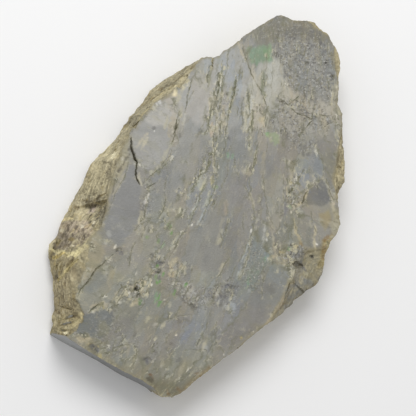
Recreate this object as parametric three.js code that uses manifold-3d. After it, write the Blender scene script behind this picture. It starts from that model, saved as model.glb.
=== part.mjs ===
// A slice of labradorite rock, lying flat on its sawn underside.
// Units are millimetres, +Z is up, and the origin is under the middle of the slice.
import * as THREE from "three";
import { ConvexGeometry } from "three/addons/geometries/ConvexGeometry.js";
import { LoftGeometry } from "three/addons/geometries/LoftGeometry.js";
import { ImprovedNoise } from "three/addons/math/ImprovedNoise.js";
import { mergeVertices } from "three/addons/utils/BufferGeometryUtils.js";
import Module from "manifold-3d";

// Heights: the two saw cuts are parallel, and the rind is widest a little above the lower one.
const THICKNESS = 12.5;
const GIRTH_HEIGHT = 3.0;
const RING_HEIGHTS = [0, 1.3, GIRTH_HEIGHT, 4.8, 6.8, 8.8, 10.4, 11.7, THICKNESS];

// Spacing of points round the slice, and how far the rind draws in under the girth.
const POINT_SPACING = 1.6;
const UNDERCUT = 1.7;
const FOOT_INSET = 0.9;

// Roughness of the rind: broad lumps, finer grain, and the wander of the rim.
const LUMP_HEIGHT = 0.65;
const LUMP_SCALE = 0.16;
const GRAIN_HEIGHT = 0.45;
const GRAIN_SCALE = 0.55;
const RIM_WANDER = 0.22;
const RIM_SCALE = 0.7;
const ROUGH_BELOW_RIM = 2;
const FLANK_CURVE = 0.85;

// Roughness of a pit, and the width of a crack's ends against its middle.
const PIT_ROUGHNESS = 0.6;
const PIT_GRAIN = 1.3;
const CRACK_END = 0.25;

// How far cutting shapes reach out of the rock, so that no skin is left behind.
const REACH = 12;
const OVERSHOOT = 0.6;

// Corners closer together than this are one corner.
const MERGE_DISTANCE = 1e-4;

// Right-hand rim of the upper cut, from the bottom tip up and round to the top.
const RIGHT_RIM = [
  [3.4, -60.0], [6.9, -59.3], [8.7, -57.6], [11.6, -53.1], [13.6, -50.2], [17.5, -44.4],
  [20.9, -39.9], [22.7, -36.6], [25.8, -32.0], [28.1, -29.2], [31.0, -24.5], [32.4, -22.4],
  [32.5, -21.4], [34.3, -19.0], [37.2, -15.4], [38.2, -11.4], [38.0, -9.0], [37.2, -5.6],
  [37.5, -2.0], [38.5, 0.6], [38.7, 4.1], [37.7, 6.6], [36.4, 9.3], [35.9, 12.3],
  [36.2, 14.6], [36.7, 17.0], [35.6, 21.3], [34.5, 24.7], [32.1, 30.2], [30.9, 33.3],
  [30.0, 35.8], [28.0, 38.2], [27.3, 41.4], [26.1, 46.0], [25.8, 50.6], [24.5, 53.0],
  [21.3, 55.3], [19.4, 57.5], [16.7, 58.9], [14.5, 60.0], [12.8, 59.4], [9.4, 58.5],
  [7.8, 58.0], [6.5, 58.5], [4.2, 58.3], [2.8, 57.4], [-1.4, 52.0], [-4.3, 48.5],
  [-6.2, 44.8], [-8.6, 42.0], [-9.4, 40.2], [-10.9, 39.0], [-12.6, 38.6],
];

// Left-hand side, downwards: rim x, rim y, and the girth x, girth y which the broken flank
// slopes out to.
const LEFT_FLANK = [
  [-13.6, 38.0, -14.2, 40.0], [-14.9, 35.4, -16.9, 36.7], [-16.4, 30.8, -20.7, 32.8],
  [-19.4, 24.4, -24.5, 26.2], [-23.0, 20.0, -26.3, 21.1], [-25.0, 15.2, -28.4, 14.9],
  [-26.8, 10.6, -29.4, 10.2], [-27.2, 6.8, -30.5, 6.9], [-27.6, 3.0, -32.9, 3.0],
  [-27.7, 0.2, -34.1, 0.8], [-27.9, -3.8, -34.8, -3.6], [-27.3, -10.2, -35.7, -10.7],
  [-26.4, -14.6, -36.4, -14.7], [-26.6, -18.8, -36.8, -18.6], [-27.6, -21.6, -37.0, -21.4],
  [-28.9, -24.4, -37.7, -24.4], [-29.8, -27.5, -38.9, -27.0], [-30.6, -31.0, -38.2, -29.8],
  [-31.0, -35.0, -35.2, -35.5], [-28.8, -40.0, -33.5, -39.2], [-27.0, -44.0, -32.0, -43.2],
  [-26.0, -47.5, -31.3, -47.3], [-26.3, -50.2, -30.5, -49.6],
];

// The sawn end face between the flank and the bottom tip, in the same form.
const SAWN_END = [
  [-26.9, -52.4, -30.2, -51.1], [-22.2, -53.6, -22.2, -53.4], [-16.2, -55.1, -16.2, -55.1],
  [-8.0, -56.7, -8.0, -57.0], [-2.4, -57.4, -2.4, -57.7], [1.2, -58.4, 1.8, -58.5],
];

// Fissures of the face: half-open cleavage cracks, each with its width, depth and course.
const FISSURES = [
  {
    width: 0.5,
    depth: 0.7,
    path: [
      [-15.3, 32.7], [-14.7, 29.5], [-14.6, 27.0], [-14.3, 23.7], [-14.0, 20.6],
    ],
  },
  {
    width: 1.2,
    depth: 1.3,
    path: [
      [-13.8, 21.5], [-14.4, 17.5], [-14.6, 15.4], [-14.5, 13.4], [-14.0, 10.6],
    ],
  },
  { width: 0.5, depth: 0.6, path: [[-14.5, 9.0], [-14.3, 5.7], [-15.3, 3.4], [-15.8, 0.8]] },
  {
    width: 1.1,
    depth: 1.5,
    path: [
      [-26.2, 7.2], [-25.1, 4.9], [-24.2, 3.6], [-23.1, 2.0], [-22.5, 0.8], [-22.1, -1.0],
      [-20.6, -3.4], [-19.2, -4.4],
    ],
  },
  { width: 0.6, depth: 0.8, path: [[-17.9, -5.8], [-16.8, -9.0], [-16.0, -11.6], [-15.7, -14.0]] },
  { width: 0.5, depth: 0.6, path: [[-11.2, 39.6], [-10.4, 36.5], [-10.5, 34.2], [-10.2, 31.6]] },
  {
    width: 0.5,
    depth: 0.6,
    path: [
      [-6.8, 33.0], [-6.5, 30.4], [-5.3, 27.6], [-4.7, 24.2], [-3.2, 21.8], [-2.6, 18.8],
    ],
  },
  {
    width: 0.7,
    depth: 0.8,
    path: [
      [-2.8, 35.6], [-2.4, 31.6], [-2.3, 27.8], [-1.9, 24.6], [-1.2, 20.4], [-0.6, 17.4],
    ],
  },
  {
    width: 0.6,
    depth: 0.7,
    path: [
      [-4.4, 45.6], [-2.6, 43.0], [0.1, 39.3], [3.7, 35.3], [7.3, 31.5], [8.6, 27.0],
    ],
  },
  { width: 0.6, depth: 0.6, path: [[4.6, 28.0], [5.2, 24.4], [5.2, 21.4], [6.5, 17.2]] },
  { width: 0.5, depth: 0.6, path: [[9.0, 19.0], [9.5, 15.3], [9.6, 12.9], [10.3, 10.0]] },
  {
    width: 0.7,
    depth: 0.8,
    path: [
      [-3.2, 14.4], [-2.0, 10.8], [-0.5, 7.2], [0.8, 4.2], [1.0, 1.0], [0.6, -2.0],
    ],
  },
  {
    width: 0.7,
    depth: 0.8,
    path: [
      [-3.0, 10.8], [-3.3, 7.6], [-4.5, 5.2], [-4.7, 1.3], [-4.4, -2.2],
    ],
  },
  { width: 0.8, depth: 1.0, path: [[-11.9, -21.0], [-9.4, -23.2], [-6.4, -24.8]] },
  { width: 0.7, depth: 0.9, path: [[-23.0, -44.4], [-21.8, -42.6], [-20.6, -41.0]] },
  { width: 0.6, depth: 0.7, path: [[-26.4, -36.0], [-25.3, -34.4], [-24.2, -32.4]] },
  { width: 0.9, depth: 0.9, path: [[11.5, 33.2], [13.0, 33.5], [14.8, 34.6]] },
  { width: 0.9, depth: 0.9, path: [[20.6, 28.6], [21.4, 30.2], [21.2, 33.0]] },
  { width: 0.8, depth: 0.8, path: [[22.4, 33.4], [23.6, 33.0], [25.0, 33.2]] },
  { width: 0.7, depth: 0.8, path: [[24.6, 8.2], [25.4, 10.6], [25.8, 13.6], [26.4, 15.8]] },
  { width: 0.7, depth: 0.8, path: [[29.4, -15.5], [29.6, -19.0], [29.2, -22.0]] },
];

// Pits of the face, where grains have broken out: x, y, half width, half length, depth, turn.
const PITS = [
  [-12.0, -33.2, 0.8, 1.1, 1.6, 0.4], [-10.8, -34.8, 0.7, 1.3, 1.2, -0.3],
  [-9.9, -22.9, 1.4, 1.0, 1.1, 0.3], [-19.6, -24.4, 0.9, 1.3, 0.9, 0.8],
  [0.1, -52.6, 1.2, 0.9, 0.9, 0.5], [29.6, -8.4, 1.0, 1.4, 1.0, -0.5],
  [30.3, -11.6, 1.8, 1.1, 1.0, 0.2], [33.6, -8.0, 0.7, 0.7, 0.9, 0.0],
  [8.4, 46.0, 0.8, 1.6, 0.8, 0.0], [16.2, 46.9, 1.0, 0.7, 0.8, 0.2],
  [22.0, 49.0, 1.3, 0.6, 0.9, 0.3], [24.0, 45.6, 1.0, 0.8, 0.8, 0.0],
  [14.6, 31.8, 0.9, 0.9, 0.9, 0.0], [17.6, 25.0, 1.6, 0.6, 0.7, -0.1],
  [20.6, 17.4, 0.6, 1.4, 0.8, -0.3], [13.2, -26.8, 1.6, 1.1, 0.8, 0.6],
  [4.2, -31.9, 1.5, 0.8, 0.8, 0.2], [34.4, 20.4, 1.3, 0.8, 1.1, 0.3],
];

// Chips split off the edges. Each leaves the hull of its corners, swept away from the rock
// along its own direction.
const CHIPS = [
  {
    name: "hollow under the overhang",
    away: [-0.6, -0.1, 0.8],
    corners: [
      [-26.4, -11.0, 10.8], [-30.0, -12.8, 6.6], [-35.0, -14.8, 5.0],
      [-34.4, -18.2, 6.0], [-31.6, -20.6, 8.8], [-26.8, -20.8, 12.5],
    ],
  },
  {
    name: "coarse patch above the crest",
    away: [-0.7, 0.15, 0.7],
    corners: [
      [-28.2, -21.4, 12.7], [-37.0, -20.8, 3.4], [-29.6, -26.2, 10.2],
      [-32.8, -27.6, 7.0], [-36.6, -28.4, 3.2],
    ],
  },
  {
    name: "smooth yellow facet",
    away: [-0.7, 0, 0.7],
    corners: [[-28.4, -0.4, 12.0], [-28.2, -9.8, 11.4], [-35.0, -10.6, 4.2], [-33.2, 0.4, 4.4]],
  },
  {
    name: "hollow at the upper left rim",
    away: [-0.5, 0.1, 0.86],
    corners: [[-25.2, 14.8, 12.7], [-25.6, 13.4, 11.2], [-27.0, 11.6, 10.2], [-26.0, 10.6, 12.7]],
  },
  {
    name: "upper left band",
    away: [-0.7, 0.5, 0.5],
    corners: [[-15.6, 33.8, 12.0], [-19.2, 25.2, 11.4], [-24.2, 25.6, 5.0], [-19.4, 33.8, 5.2]],
  },
  {
    name: "ledge by the white block",
    away: [-0.6, 0.4, 0.7],
    corners: [
      [-16.2, 31.6, 11.2], [-18.8, 26.0, 10.6], [-17.2, 27.0, 12.7], [-15.8, 31.0, 12.7],
      [-21.0, 29.6, 8.6],
    ],
  },
  {
    name: "side chip, lower right",
    away: [0.2, -0.2, 1],
    corners: [
      [29.8, -16.6, 12.5], [29.6, -21.6, 12.5], [28.6, -25.2, 12.5], [27.4, -29.8, 12.5],
      [36.0, -18.6, 10.4], [33.5, -25.0, 10.0], [31.0, -29.6, 10.4],
    ],
  },
  {
    name: "brown margin, right",
    away: [0.1, 0, 1],
    corners: [
      [37.8, -3.2, 12.5], [31.4, -7.0, 12.5], [29.8, -12.0, 12.5], [30.0, -17.2, 12.5],
      [34.6, -19.4, 12.2], [40.0, -6.0, 11.3], [40.4, -12.0, 11.0], [38.0, -17.0, 11.1],
    ],
  },
  {
    name: "right-hand bevel",
    away: [0.2, 0, 1],
    corners: [
      [30.9, 33.6, 12.5], [31.4, 28.5, 12.5], [32.6, 20.0, 12.5], [33.2, 15.2, 12.5],
      [36.0, 9.6, 12.5], [33.5, 33.0, 11.2], [37.5, 24.0, 11.0], [38.5, 16.0, 11.0],
    ],
  },
  {
    name: "upper right bevel",
    away: [0.2, 0.1, 1],
    corners: [
      [26.4, 44.0, 12.5], [23.8, 49.2, 12.5], [21.8, 54.8, 12.5], [28.0, 47.0, 11.0],
      [27.0, 52.5, 10.8],
    ],
  },
  {
    name: "corner at the top",
    away: [0.1, 0.2, 1],
    corners: [
      [19.8, 56.9, 12.5], [15.2, 58.0, 12.5], [12.2, 59.2, 12.5], [18.0, 60.5, 11.0],
      [14.4, 61.5, 11.2],
    ],
  },
];

// Cracks of the broken left flank, each with its width, depth and course down the slope.
const FLANK_NORMAL = new THREE.Vector3(-0.72, 0, 0.69);
const FLANK_CRACKS = [
  {
    width: 1.5,
    depth: 1.2,
    path: [
      [-26.4, -44.7, 13.0], [-28.6, -44.3, 10.4], [-30.5, -43.7, 7.0], [-32.6, -43.1, 3.0],
    ],
  },
  {
    width: 1.1,
    depth: 0.7,
    path: [
      [-25.6, -46.2, 12.9], [-28.3, -47.2, 9.0], [-31.0, -48.0, 4.4],
    ],
  },
  {
    width: 1.1,
    depth: 0.7,
    path: [
      [-25.4, -47.9, 12.9], [-28.0, -48.8, 9.0], [-30.8, -49.5, 4.4],
    ],
  },
  {
    width: 1.2,
    depth: 0.9,
    path: [
      [-25.8, -50.6, 13.0], [-28.2, -50.6, 9.4], [-30.6, -50.3, 4.0],
    ],
  },
  {
    width: 1.0,
    depth: 0.9,
    path: [
      [-29.3, -29.2, 13.0], [-31.4, -32.4, 12.2], [-32.6, -36.8, 9.4],
    ],
  },
  { width: 1.2, depth: 0.8, path: [[-35.6, -31.4, 6.0], [-33.6, -35.6, 6.2], [-31.6, -40.0, 6.6]] },
  { width: 1.0, depth: 0.8, path: [[-28.3, -1.2, 12.6], [-29.4, -5.4, 11.4], [-29.0, -9.4, 11.6]] },
  { width: 1.1, depth: 0.8, path: [[-33.6, -1.0, 4.6], [-34.4, -6.0, 4.6], [-35.4, -10.4, 4.4]] },
];

const noise = new ImprovedNoise();
const wasm = await Module();
wasm.setup();

// Turns a closed geometry into a solid.
function solid(geometry) {
  const shell = new THREE.BufferGeometry();
  shell.setAttribute("position", geometry.attributes.position);
  shell.setIndex(geometry.index);
  const merged = mergeVertices(shell, MERGE_DISTANCE);
  const mesh = new wasm.Mesh({
    numProp: 3,
    vertProperties: merged.attributes.position.array,
    triVerts: new Uint32Array(merged.index.array),
  });
  return new wasm.Manifold(mesh);
}

// Outward direction of a counterclockwise outline at one of its points.
function outward(outline, i) {
  const before = outline[(i + outline.length - 1) % outline.length];
  const after = outline[(i + 1) % outline.length];
  return new THREE.Vector2(after[1] - before[1], before[0] - after[0]).normalize();
}

// One station for each corner of the slice: its place on the rim and on the girth, and how much
// rind it has (none on the sawn end).
function stations() {
  const right = RIGHT_RIM.map((rim, i) => {
    const out = outward(RIGHT_RIM, Math.min(Math.max(i, 1), RIGHT_RIM.length - 2));
    const girth = [rim[0] - out.x * UNDERCUT, rim[1] - out.y * UNDERCUT];
    return { rim, girth, rind: 1 };
  });
  const sloped = (rind) => (row) => ({ rim: row.slice(0, 2), girth: row.slice(2), rind });
  return [...right, ...LEFT_FLANK.map(sloped(1)), ...SAWN_END.map(sloped(0))];
}

// Points at an even spacing between the stations.
function columns() {
  const corners = stations();
  return corners.flatMap((from, i) => {
    const to = corners[(i + 1) % corners.length];
    const rimStep = Math.hypot(to.rim[0] - from.rim[0], to.rim[1] - from.rim[1]);
    const girthStep = Math.hypot(to.girth[0] - from.girth[0], to.girth[1] - from.girth[1]);
    const count = Math.max(1, Math.round(Math.max(rimStep, girthStep) / POINT_SPACING));
    return Array.from({ length: count }, (_, k) => ({
      rim: [0, 1].map((a) => THREE.MathUtils.lerp(from.rim[a], to.rim[a], k / count)),
      girth: [0, 1].map((a) => THREE.MathUtils.lerp(from.girth[a], to.girth[a], k / count)),
      rind: Math.min(from.rind, to.rind),
    }));
  });
}

// The whole blank: rings from the underside to the rim, with the rind's lumps and grain.
function blank() {
  const points = columns();
  const rims = points.map((point) => point.rim);
  const sections = RING_HEIGHTS.map((z) =>
    points.map((point, i) => {
      const out = outward(rims, i);
      const slope = Math.min(1, (THICKNESS - z) / (THICKNESS - GIRTH_HEIGHT)) ** FLANK_CURVE;
      const x = THREE.MathUtils.lerp(point.rim[0], point.girth[0], slope);
      const y = THREE.MathUtils.lerp(point.rim[1], point.girth[1], slope);
      const below = Math.max(0, 1 - z / GIRTH_HEIGHT) ** 2;
      const depth = Math.min(1, (THICKNESS - z) / ROUGH_BELOW_RIM);
      const lump = LUMP_HEIGHT * noise.noise(x * LUMP_SCALE, y * LUMP_SCALE, z * LUMP_SCALE);
      const grain = GRAIN_HEIGHT * noise.noise(x * GRAIN_SCALE, y * GRAIN_SCALE, z * GRAIN_SCALE);
      const wander = RIM_WANDER * noise.noise(x * RIM_SCALE, y * RIM_SCALE, THICKNESS);
      const push = point.rind * (depth * (lump + grain) + wander - FOOT_INSET * below);
      return new THREE.Vector3(x + out.x * push, y + out.y * push, z);
    }),
  );
  return solid(new LoftGeometry(sections, { capStart: true, capEnd: true }));
}

// A blade which cuts a V-shaped crack along a path, narrow at both ends.
function blade({ path, width, depth }, normal) {
  const points = path.map(([x, y, z = THICKNESS]) => new THREE.Vector3(x, y, z));
  const last = points.length - 1;
  const sections = points.map((point, i) => {
    const ahead = points[Math.min(i + 1, last)].clone().sub(points[Math.max(i - 1, 0)]).normalize();
    const side = normal.clone().cross(ahead).normalize();
    const size = THREE.MathUtils.lerp(CRACK_END, 1, Math.sin((Math.PI * i) / last));
    const half = (size * width * (depth + OVERSHOOT)) / depth / 2;
    const lift = point.clone().addScaledVector(normal, OVERSHOOT);
    return [
      point.clone().addScaledVector(normal, -depth * size),
      lift.clone().addScaledVector(side, half),
      lift.clone().addScaledVector(side, -half),
    ];
  });
  return solid(new LoftGeometry(sections, { capStart: true, capEnd: true }));
}

// A lump which presses one pit into the face.
function pit([x, y, halfWidth, halfLength, depth, turn]) {
  const geometry = new THREE.IcosahedronGeometry(1, 1);
  const position = geometry.attributes.position;
  const vertex = new THREE.Vector3();
  for (let i = 0; i < position.count; i += 1) {
    vertex.fromBufferAttribute(position, i);
    const seat = vertex.clone().multiplyScalar(PIT_GRAIN);
    vertex.multiplyScalar(1 + PIT_ROUGHNESS * noise.noise(seat.x + x, seat.y + y, seat.z));
    position.setXYZ(i, vertex.x, vertex.y, vertex.z);
  }
  geometry.scale(halfWidth, halfLength, depth);
  geometry.rotateZ(turn);
  geometry.translate(x, y, THICKNESS);
  return solid(geometry);
}

// A block which splits off one chip.
function splitter({ away, corners }) {
  const sweep = new THREE.Vector3(...away).normalize().multiplyScalar(REACH);
  const near = corners.map((corner) => new THREE.Vector3(...corner));
  const far = near.map((corner) => corner.clone().add(sweep));
  return solid(new ConvexGeometry([...near, ...far]));
}

// Everything taken off the blank.
function cuts() {
  const up = new THREE.Vector3(0, 0, 1);
  const chips = CHIPS.map(splitter);
  const pits = PITS.map(pit);
  const fissures = FISSURES.map((fissure) => blade(fissure, up));
  const cracks = FLANK_CRACKS.map((crack) => blade(crack, FLANK_NORMAL));
  return wasm.Manifold.union([...chips, ...pits, ...fissures, ...cracks]);
}

// A three.js geometry from a finished solid.
function geometryOf(body) {
  const mesh = body.getMesh();
  const geometry = new THREE.BufferGeometry();
  geometry.setAttribute("position", new THREE.BufferAttribute(mesh.vertProperties, 3));
  geometry.setIndex(new THREE.BufferAttribute(mesh.triVerts, 1));
  geometry.computeVertexNormals();
  return geometry;
}

const stone = new THREE.MeshStandardMaterial({ color: 0x8c8a83, roughness: 0.45, metalness: 0 });
const slice = new THREE.Mesh(geometryOf(blank().subtract(cuts())), stone);
slice.name = "labradorite_slice";

const group = new THREE.Group();
group.name = "labradorite";
group.add(slice);

export default group;
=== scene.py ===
# %% [markdown]
# # A slice of labradorite rock
# The object is a palm-sized slice sawn from a lump of labradorite, a feldspar rock. Its upper
# face was lapped flat and dull. The left side still has the brown, weathered outside of the
# lump, the near end is a second saw cut, and the underside is as the saw left it.
# A rock has no parts, so the whole slice is one skin. This lesson builds that skin over the
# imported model, carves the cracks into it, roughens the rind, and then paints it with nodes.

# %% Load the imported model
import math

import bmesh
import bpy
import numpy as np
from mathutils import Matrix, Vector
from mathutils.bvhtree import BVHTree
from mathutils.geometry import delaunay_2d_cdt
from mathutils.kdtree import KDTree


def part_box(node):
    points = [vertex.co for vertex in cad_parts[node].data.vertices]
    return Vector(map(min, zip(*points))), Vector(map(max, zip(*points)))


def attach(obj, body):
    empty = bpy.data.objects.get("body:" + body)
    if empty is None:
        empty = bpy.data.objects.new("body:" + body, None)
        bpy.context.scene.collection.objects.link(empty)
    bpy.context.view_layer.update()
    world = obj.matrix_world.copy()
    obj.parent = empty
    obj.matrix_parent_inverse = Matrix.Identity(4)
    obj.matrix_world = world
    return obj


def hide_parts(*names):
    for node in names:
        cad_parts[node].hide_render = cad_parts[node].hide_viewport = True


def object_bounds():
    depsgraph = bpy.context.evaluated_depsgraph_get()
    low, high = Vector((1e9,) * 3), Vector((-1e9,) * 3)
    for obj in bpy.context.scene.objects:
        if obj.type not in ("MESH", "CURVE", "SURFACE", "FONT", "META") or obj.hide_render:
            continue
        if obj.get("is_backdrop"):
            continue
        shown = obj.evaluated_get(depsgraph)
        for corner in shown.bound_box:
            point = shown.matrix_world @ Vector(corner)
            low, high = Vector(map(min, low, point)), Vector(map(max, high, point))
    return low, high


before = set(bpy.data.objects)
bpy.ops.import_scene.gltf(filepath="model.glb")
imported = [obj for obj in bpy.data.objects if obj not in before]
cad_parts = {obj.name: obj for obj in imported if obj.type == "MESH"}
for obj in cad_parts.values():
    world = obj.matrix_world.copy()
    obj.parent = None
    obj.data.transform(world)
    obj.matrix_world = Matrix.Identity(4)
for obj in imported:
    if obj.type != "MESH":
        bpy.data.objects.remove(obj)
cad_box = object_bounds()
low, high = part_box("labradorite_slice")
MM = 0.001
FACE = high.z / MM
print(f"slice {(high - low).x / MM:.1f} x {(high - low).y / MM:.1f} x {FACE:.1f} mm")

# %% [markdown]
# ## Measuring the rock
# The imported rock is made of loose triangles, so its copy is merged first. Rays cast on to
# the copy then measure it. Working in millimetres keeps every number below readable.
# Seen from above the slice has no folds: a line from its middle to its edge leaves it once.
# So its outline can be written as one radius for each angle, and halving finds that radius.

# %% Merge a copy and make it ready for rays
merged = bmesh.new()
merged.from_mesh(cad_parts["labradorite_slice"].data)
bmesh.ops.remove_doubles(merged, verts=merged.verts, dist=1e-6)
bmesh.ops.scale(merged, vec=(1 / MM,) * 3, verts=merged.verts)
rock = BVHTree.FromBMesh(merged)
print(len(merged.verts), "corners and", len(merged.faces), "faces in the packed rock")
# Rays start this far above the face, and a radius is halved this many times.
ABOVE_ALL, HALVINGS = 5, 14


def height_at(x, y):
    """Height of the upper surface at a point, or None beside the rock."""
    hit = rock.ray_cast((x, y, FACE + ABOVE_ALL), (0, 0, -1))[0]
    return hit.z if hit else None


def radius_where(angle, is_inside, inner, outer):
    """Halves the distance between two radii until it finds where a test stops being true."""
    for _ in range(HALVINGS):
        middle = (inner + outer) / 2
        if is_inside(middle * math.cos(angle), middle * math.sin(angle)):
            inner = middle
        else:
            outer = middle
    return inner


# %% Find the outline seen from above
SPACING, INSET_STEP = 0.36, 0.03
SURE_INSIDE, SURE_OUTSIDE = 25.0, 75.0


def edge_radius(angle):
    """Radius of the outline at an angle."""
    return radius_where(angle, lambda x, y: height_at(x, y) is not None, SURE_INSIDE, SURE_OUTSIDE)


def edge_points(angles):
    """Points of the outline with their heights: where the top sheet meets the wall."""
    points = []
    for angle in angles:
        radius, height, inset = edge_radius(angle), None, 0
        while height is None:
            inset += INSET_STEP
            x, y = ((radius - inset) * f(angle) for f in (math.cos, math.sin))
            height = height_at(x, y)
        points.append((radius * math.cos(angle), radius * math.sin(angle), height))
    return np.array(points)


def even_angles(count_first=2400):
    """Angles at an even spacing along the outline, and the length of the outline."""
    angles = np.linspace(0, 2 * math.pi, count_first + 1)
    points = edge_points(angles)
    steps = np.linalg.norm(np.diff(points, axis=0), axis=1)
    along = np.concatenate([[0], np.cumsum(steps)])
    count = round(along[-1] / SPACING)
    return np.interp(np.arange(count) / count * along[-1], along, angles), along[-1]


angles, outline_length = even_angles()
outline = edge_points(angles)
print(f"outline {outline_length:.0f} mm long, {len(outline)} points")

# %% [markdown]
# The lapped face ends at a rim. Right of the middle the rim is close to the outline, and
# on the left the broken flank slopes out below it. Walking inwards from the outline until
# the full height is reached finds the rim, and halving makes it exact.

# %% Find the rim of the flat face
RIM_STEP, FIRST_STEP = 0.15, 0.05
FULL_HEIGHT = FACE - 0.02
SAW_FROM, SAW_TO, SAW_SLOPE = -120.3, -88.3, 1.0


def on_face(x, y):
    """Whether a point lies on the flat face."""
    height = height_at(x, y)
    return height is not None and height > FULL_HEIGHT


def rim_radius(angle, radius):
    """Radius of the face's rim at an angle, walking inwards from the outline."""
    while not on_face(radius * math.cos(angle), radius * math.sin(angle)):
        radius -= RIM_STEP
    return radius_where(angle, on_face, radius, radius + RIM_STEP)


edge_radii = np.hypot(outline[:, 0], outline[:, 1])
rim_radii = np.array([rim_radius(a, r - FIRST_STEP) for a, r in zip(angles, edge_radii)])
rim = np.stack([rim_radii * np.cos(angles), rim_radii * np.sin(angles)], axis=1)
# The sawn end is upright, so its widest place is anywhere on it. There the outline is the rim.
# It is known by its bearings, in degrees, and by how little it slopes out, in mm.
turned = (np.degrees(angles) + 180) % 360 - 180
upright = (turned > SAW_FROM) & (turned < SAW_TO) & (edge_radii - rim_radii < SAW_SLOPE)
outline[upright] = np.column_stack([rim, np.full(len(rim), FACE)])[upright]
edge_radii = np.hypot(outline[:, 0], outline[:, 1])
print(f"the sawn end takes up {upright.sum()} points of the outline")
print(f"the flank is up to {(edge_radii - rim_radii).max():.1f} mm wide in plan")


def around(points, radii):
    """Radius from a list for one radius an angle, read at the angles of any points."""
    bearing = np.arctan2(points[:, 1], points[:, 0]) % (2 * math.pi)
    return np.interp(bearing, angles, radii, period=2 * math.pi)


# %% [markdown]
# ## Random fields
# Stone is uneven at every size. One small function gives smooth random values in space: it
# puts a fixed random number on each corner of a grid and blends between the corners. The
# same seed always gives the same stone.

# %% A smooth random field
PRIMES = np.array([73856093, 19349663, 83492791])
NUMBERS = 8192


def random_field(points, size, seed):
    """Smooth random values from about -1 to 1 at points in mm, with lumps of one size."""
    values = np.random.default_rng(seed).uniform(-1, 1, NUMBERS)
    scaled = np.asarray(points, float) / size
    cell = np.floor(scaled).astype(np.int64)
    part = scaled - cell
    ease = part * part * (3 - 2 * part)
    total = np.zeros(len(scaled))
    for corner in np.ndindex(*(2,) * scaled.shape[1]):
        index = (cell + corner) * PRIMES[: scaled.shape[1]]
        hashed = np.bitwise_xor.reduce(index, axis=1) % len(values)
        share = np.prod(np.where(corner, ease, 1 - ease), axis=1)
        total += share * values[hashed]
    return total


sample = random_field(np.random.default_rng(1).uniform(0, 50, (1000, 2)), 2.0, 1)
print(f"the random field runs from {sample.min():.2f} to {sample.max():.2f}")

# %% [markdown]
# ## The grain of the stone
# Labradorite crystals are built of thin parallel layers, so the face is covered in fine
# streaks, and its cracks follow them. The streaks fan out over the slice. A few arrows say
# which way they run, and a smooth map is fitted to the arrows so that it stays constant
# along every streak. Its value is the distance across the grain.

# %% Fit the grain to a few arrows
GRAIN_UNIT = 50
# Each arrow: x, y, and its turn in degrees from straight down the slice towards +x.
GRAIN_ARROWS = [
    (-15, 27, 7), (-5, 25, 12), (5, 22, 10), (10, 14, 8), (18, 45, 12), (20, 25, 15),
    (-23, 1, 30), (-17, -10, 14), (-12, -5, 3), (-3, 5, 2), (1, 5, 12), (12, 2, 25),
    (33, 12, 42), (30, 0, 30), (5, -10, -4), (-8, -18, -22), (-25, -34, -30),
    (-22, -42, -30), (-5, -40, -18), (8, -30, -8), (18, -20, -4), (28, -25, -12), (3, -52, -8),
]


def grain_terms(points):
    """Terms of the fitted map with their slopes in x and in y."""
    x, y = points[:, 0] / GRAIN_UNIT, points[:, 1] / GRAIN_UNIT
    one, zero = np.ones_like(x), np.zeros_like(x)
    value = [y, x * y, y * y, x * x, x * x * y, x * y * y, y**3, x**3]
    by_x = [zero, y, zero, 2 * x, 2 * x * y, y * y, zero, 3 * x * x]
    by_y = [one, x, 2 * y, zero, x * x, 2 * x * y, 3 * y * y, zero]
    return [np.stack(terms, axis=1) for terms in (value, by_x, by_y)]


arrows = np.array(GRAIN_ARROWS, float)
lean = np.tan(np.radians(arrows[:, 2]))
_, slope_x, slope_y = grain_terms(arrows[:, :2])
GRAIN_FIT = np.linalg.lstsq(slope_y - lean[:, None] * slope_x, lean, rcond=None)[0]


def across_grain(points):
    """Distance across the grain, in mm, which is constant along every streak."""
    return points[:, 0] + GRAIN_UNIT * grain_terms(points)[0] @ GRAIN_FIT


def grain_direction(points):
    """Unit vectors along the grain, pointing down the slice."""
    _, slope_x, slope_y = grain_terms(points)
    along = np.stack([slope_y @ GRAIN_FIT, -1 - slope_x @ GRAIN_FIT], axis=1)
    return along / np.linalg.norm(along, axis=1, keepdims=True)


turn = grain_direction(arrows[:, :2])
miss = np.degrees(np.arctan2(turn[:, 0], -turn[:, 1])) - arrows[:, 2]
print(f"the fitted grain is within {abs(miss).max():.0f} degrees of the arrows")

# %% [markdown]
# ## The cracks
# Grinding opened the cleavage cracks of the stone: thin dark lines that run with the grain,
# a few of them wide enough to look into. Each is written as a width, a depth and a course of
# points, and gets a small random wander so that no stretch of it is straight.

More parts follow.
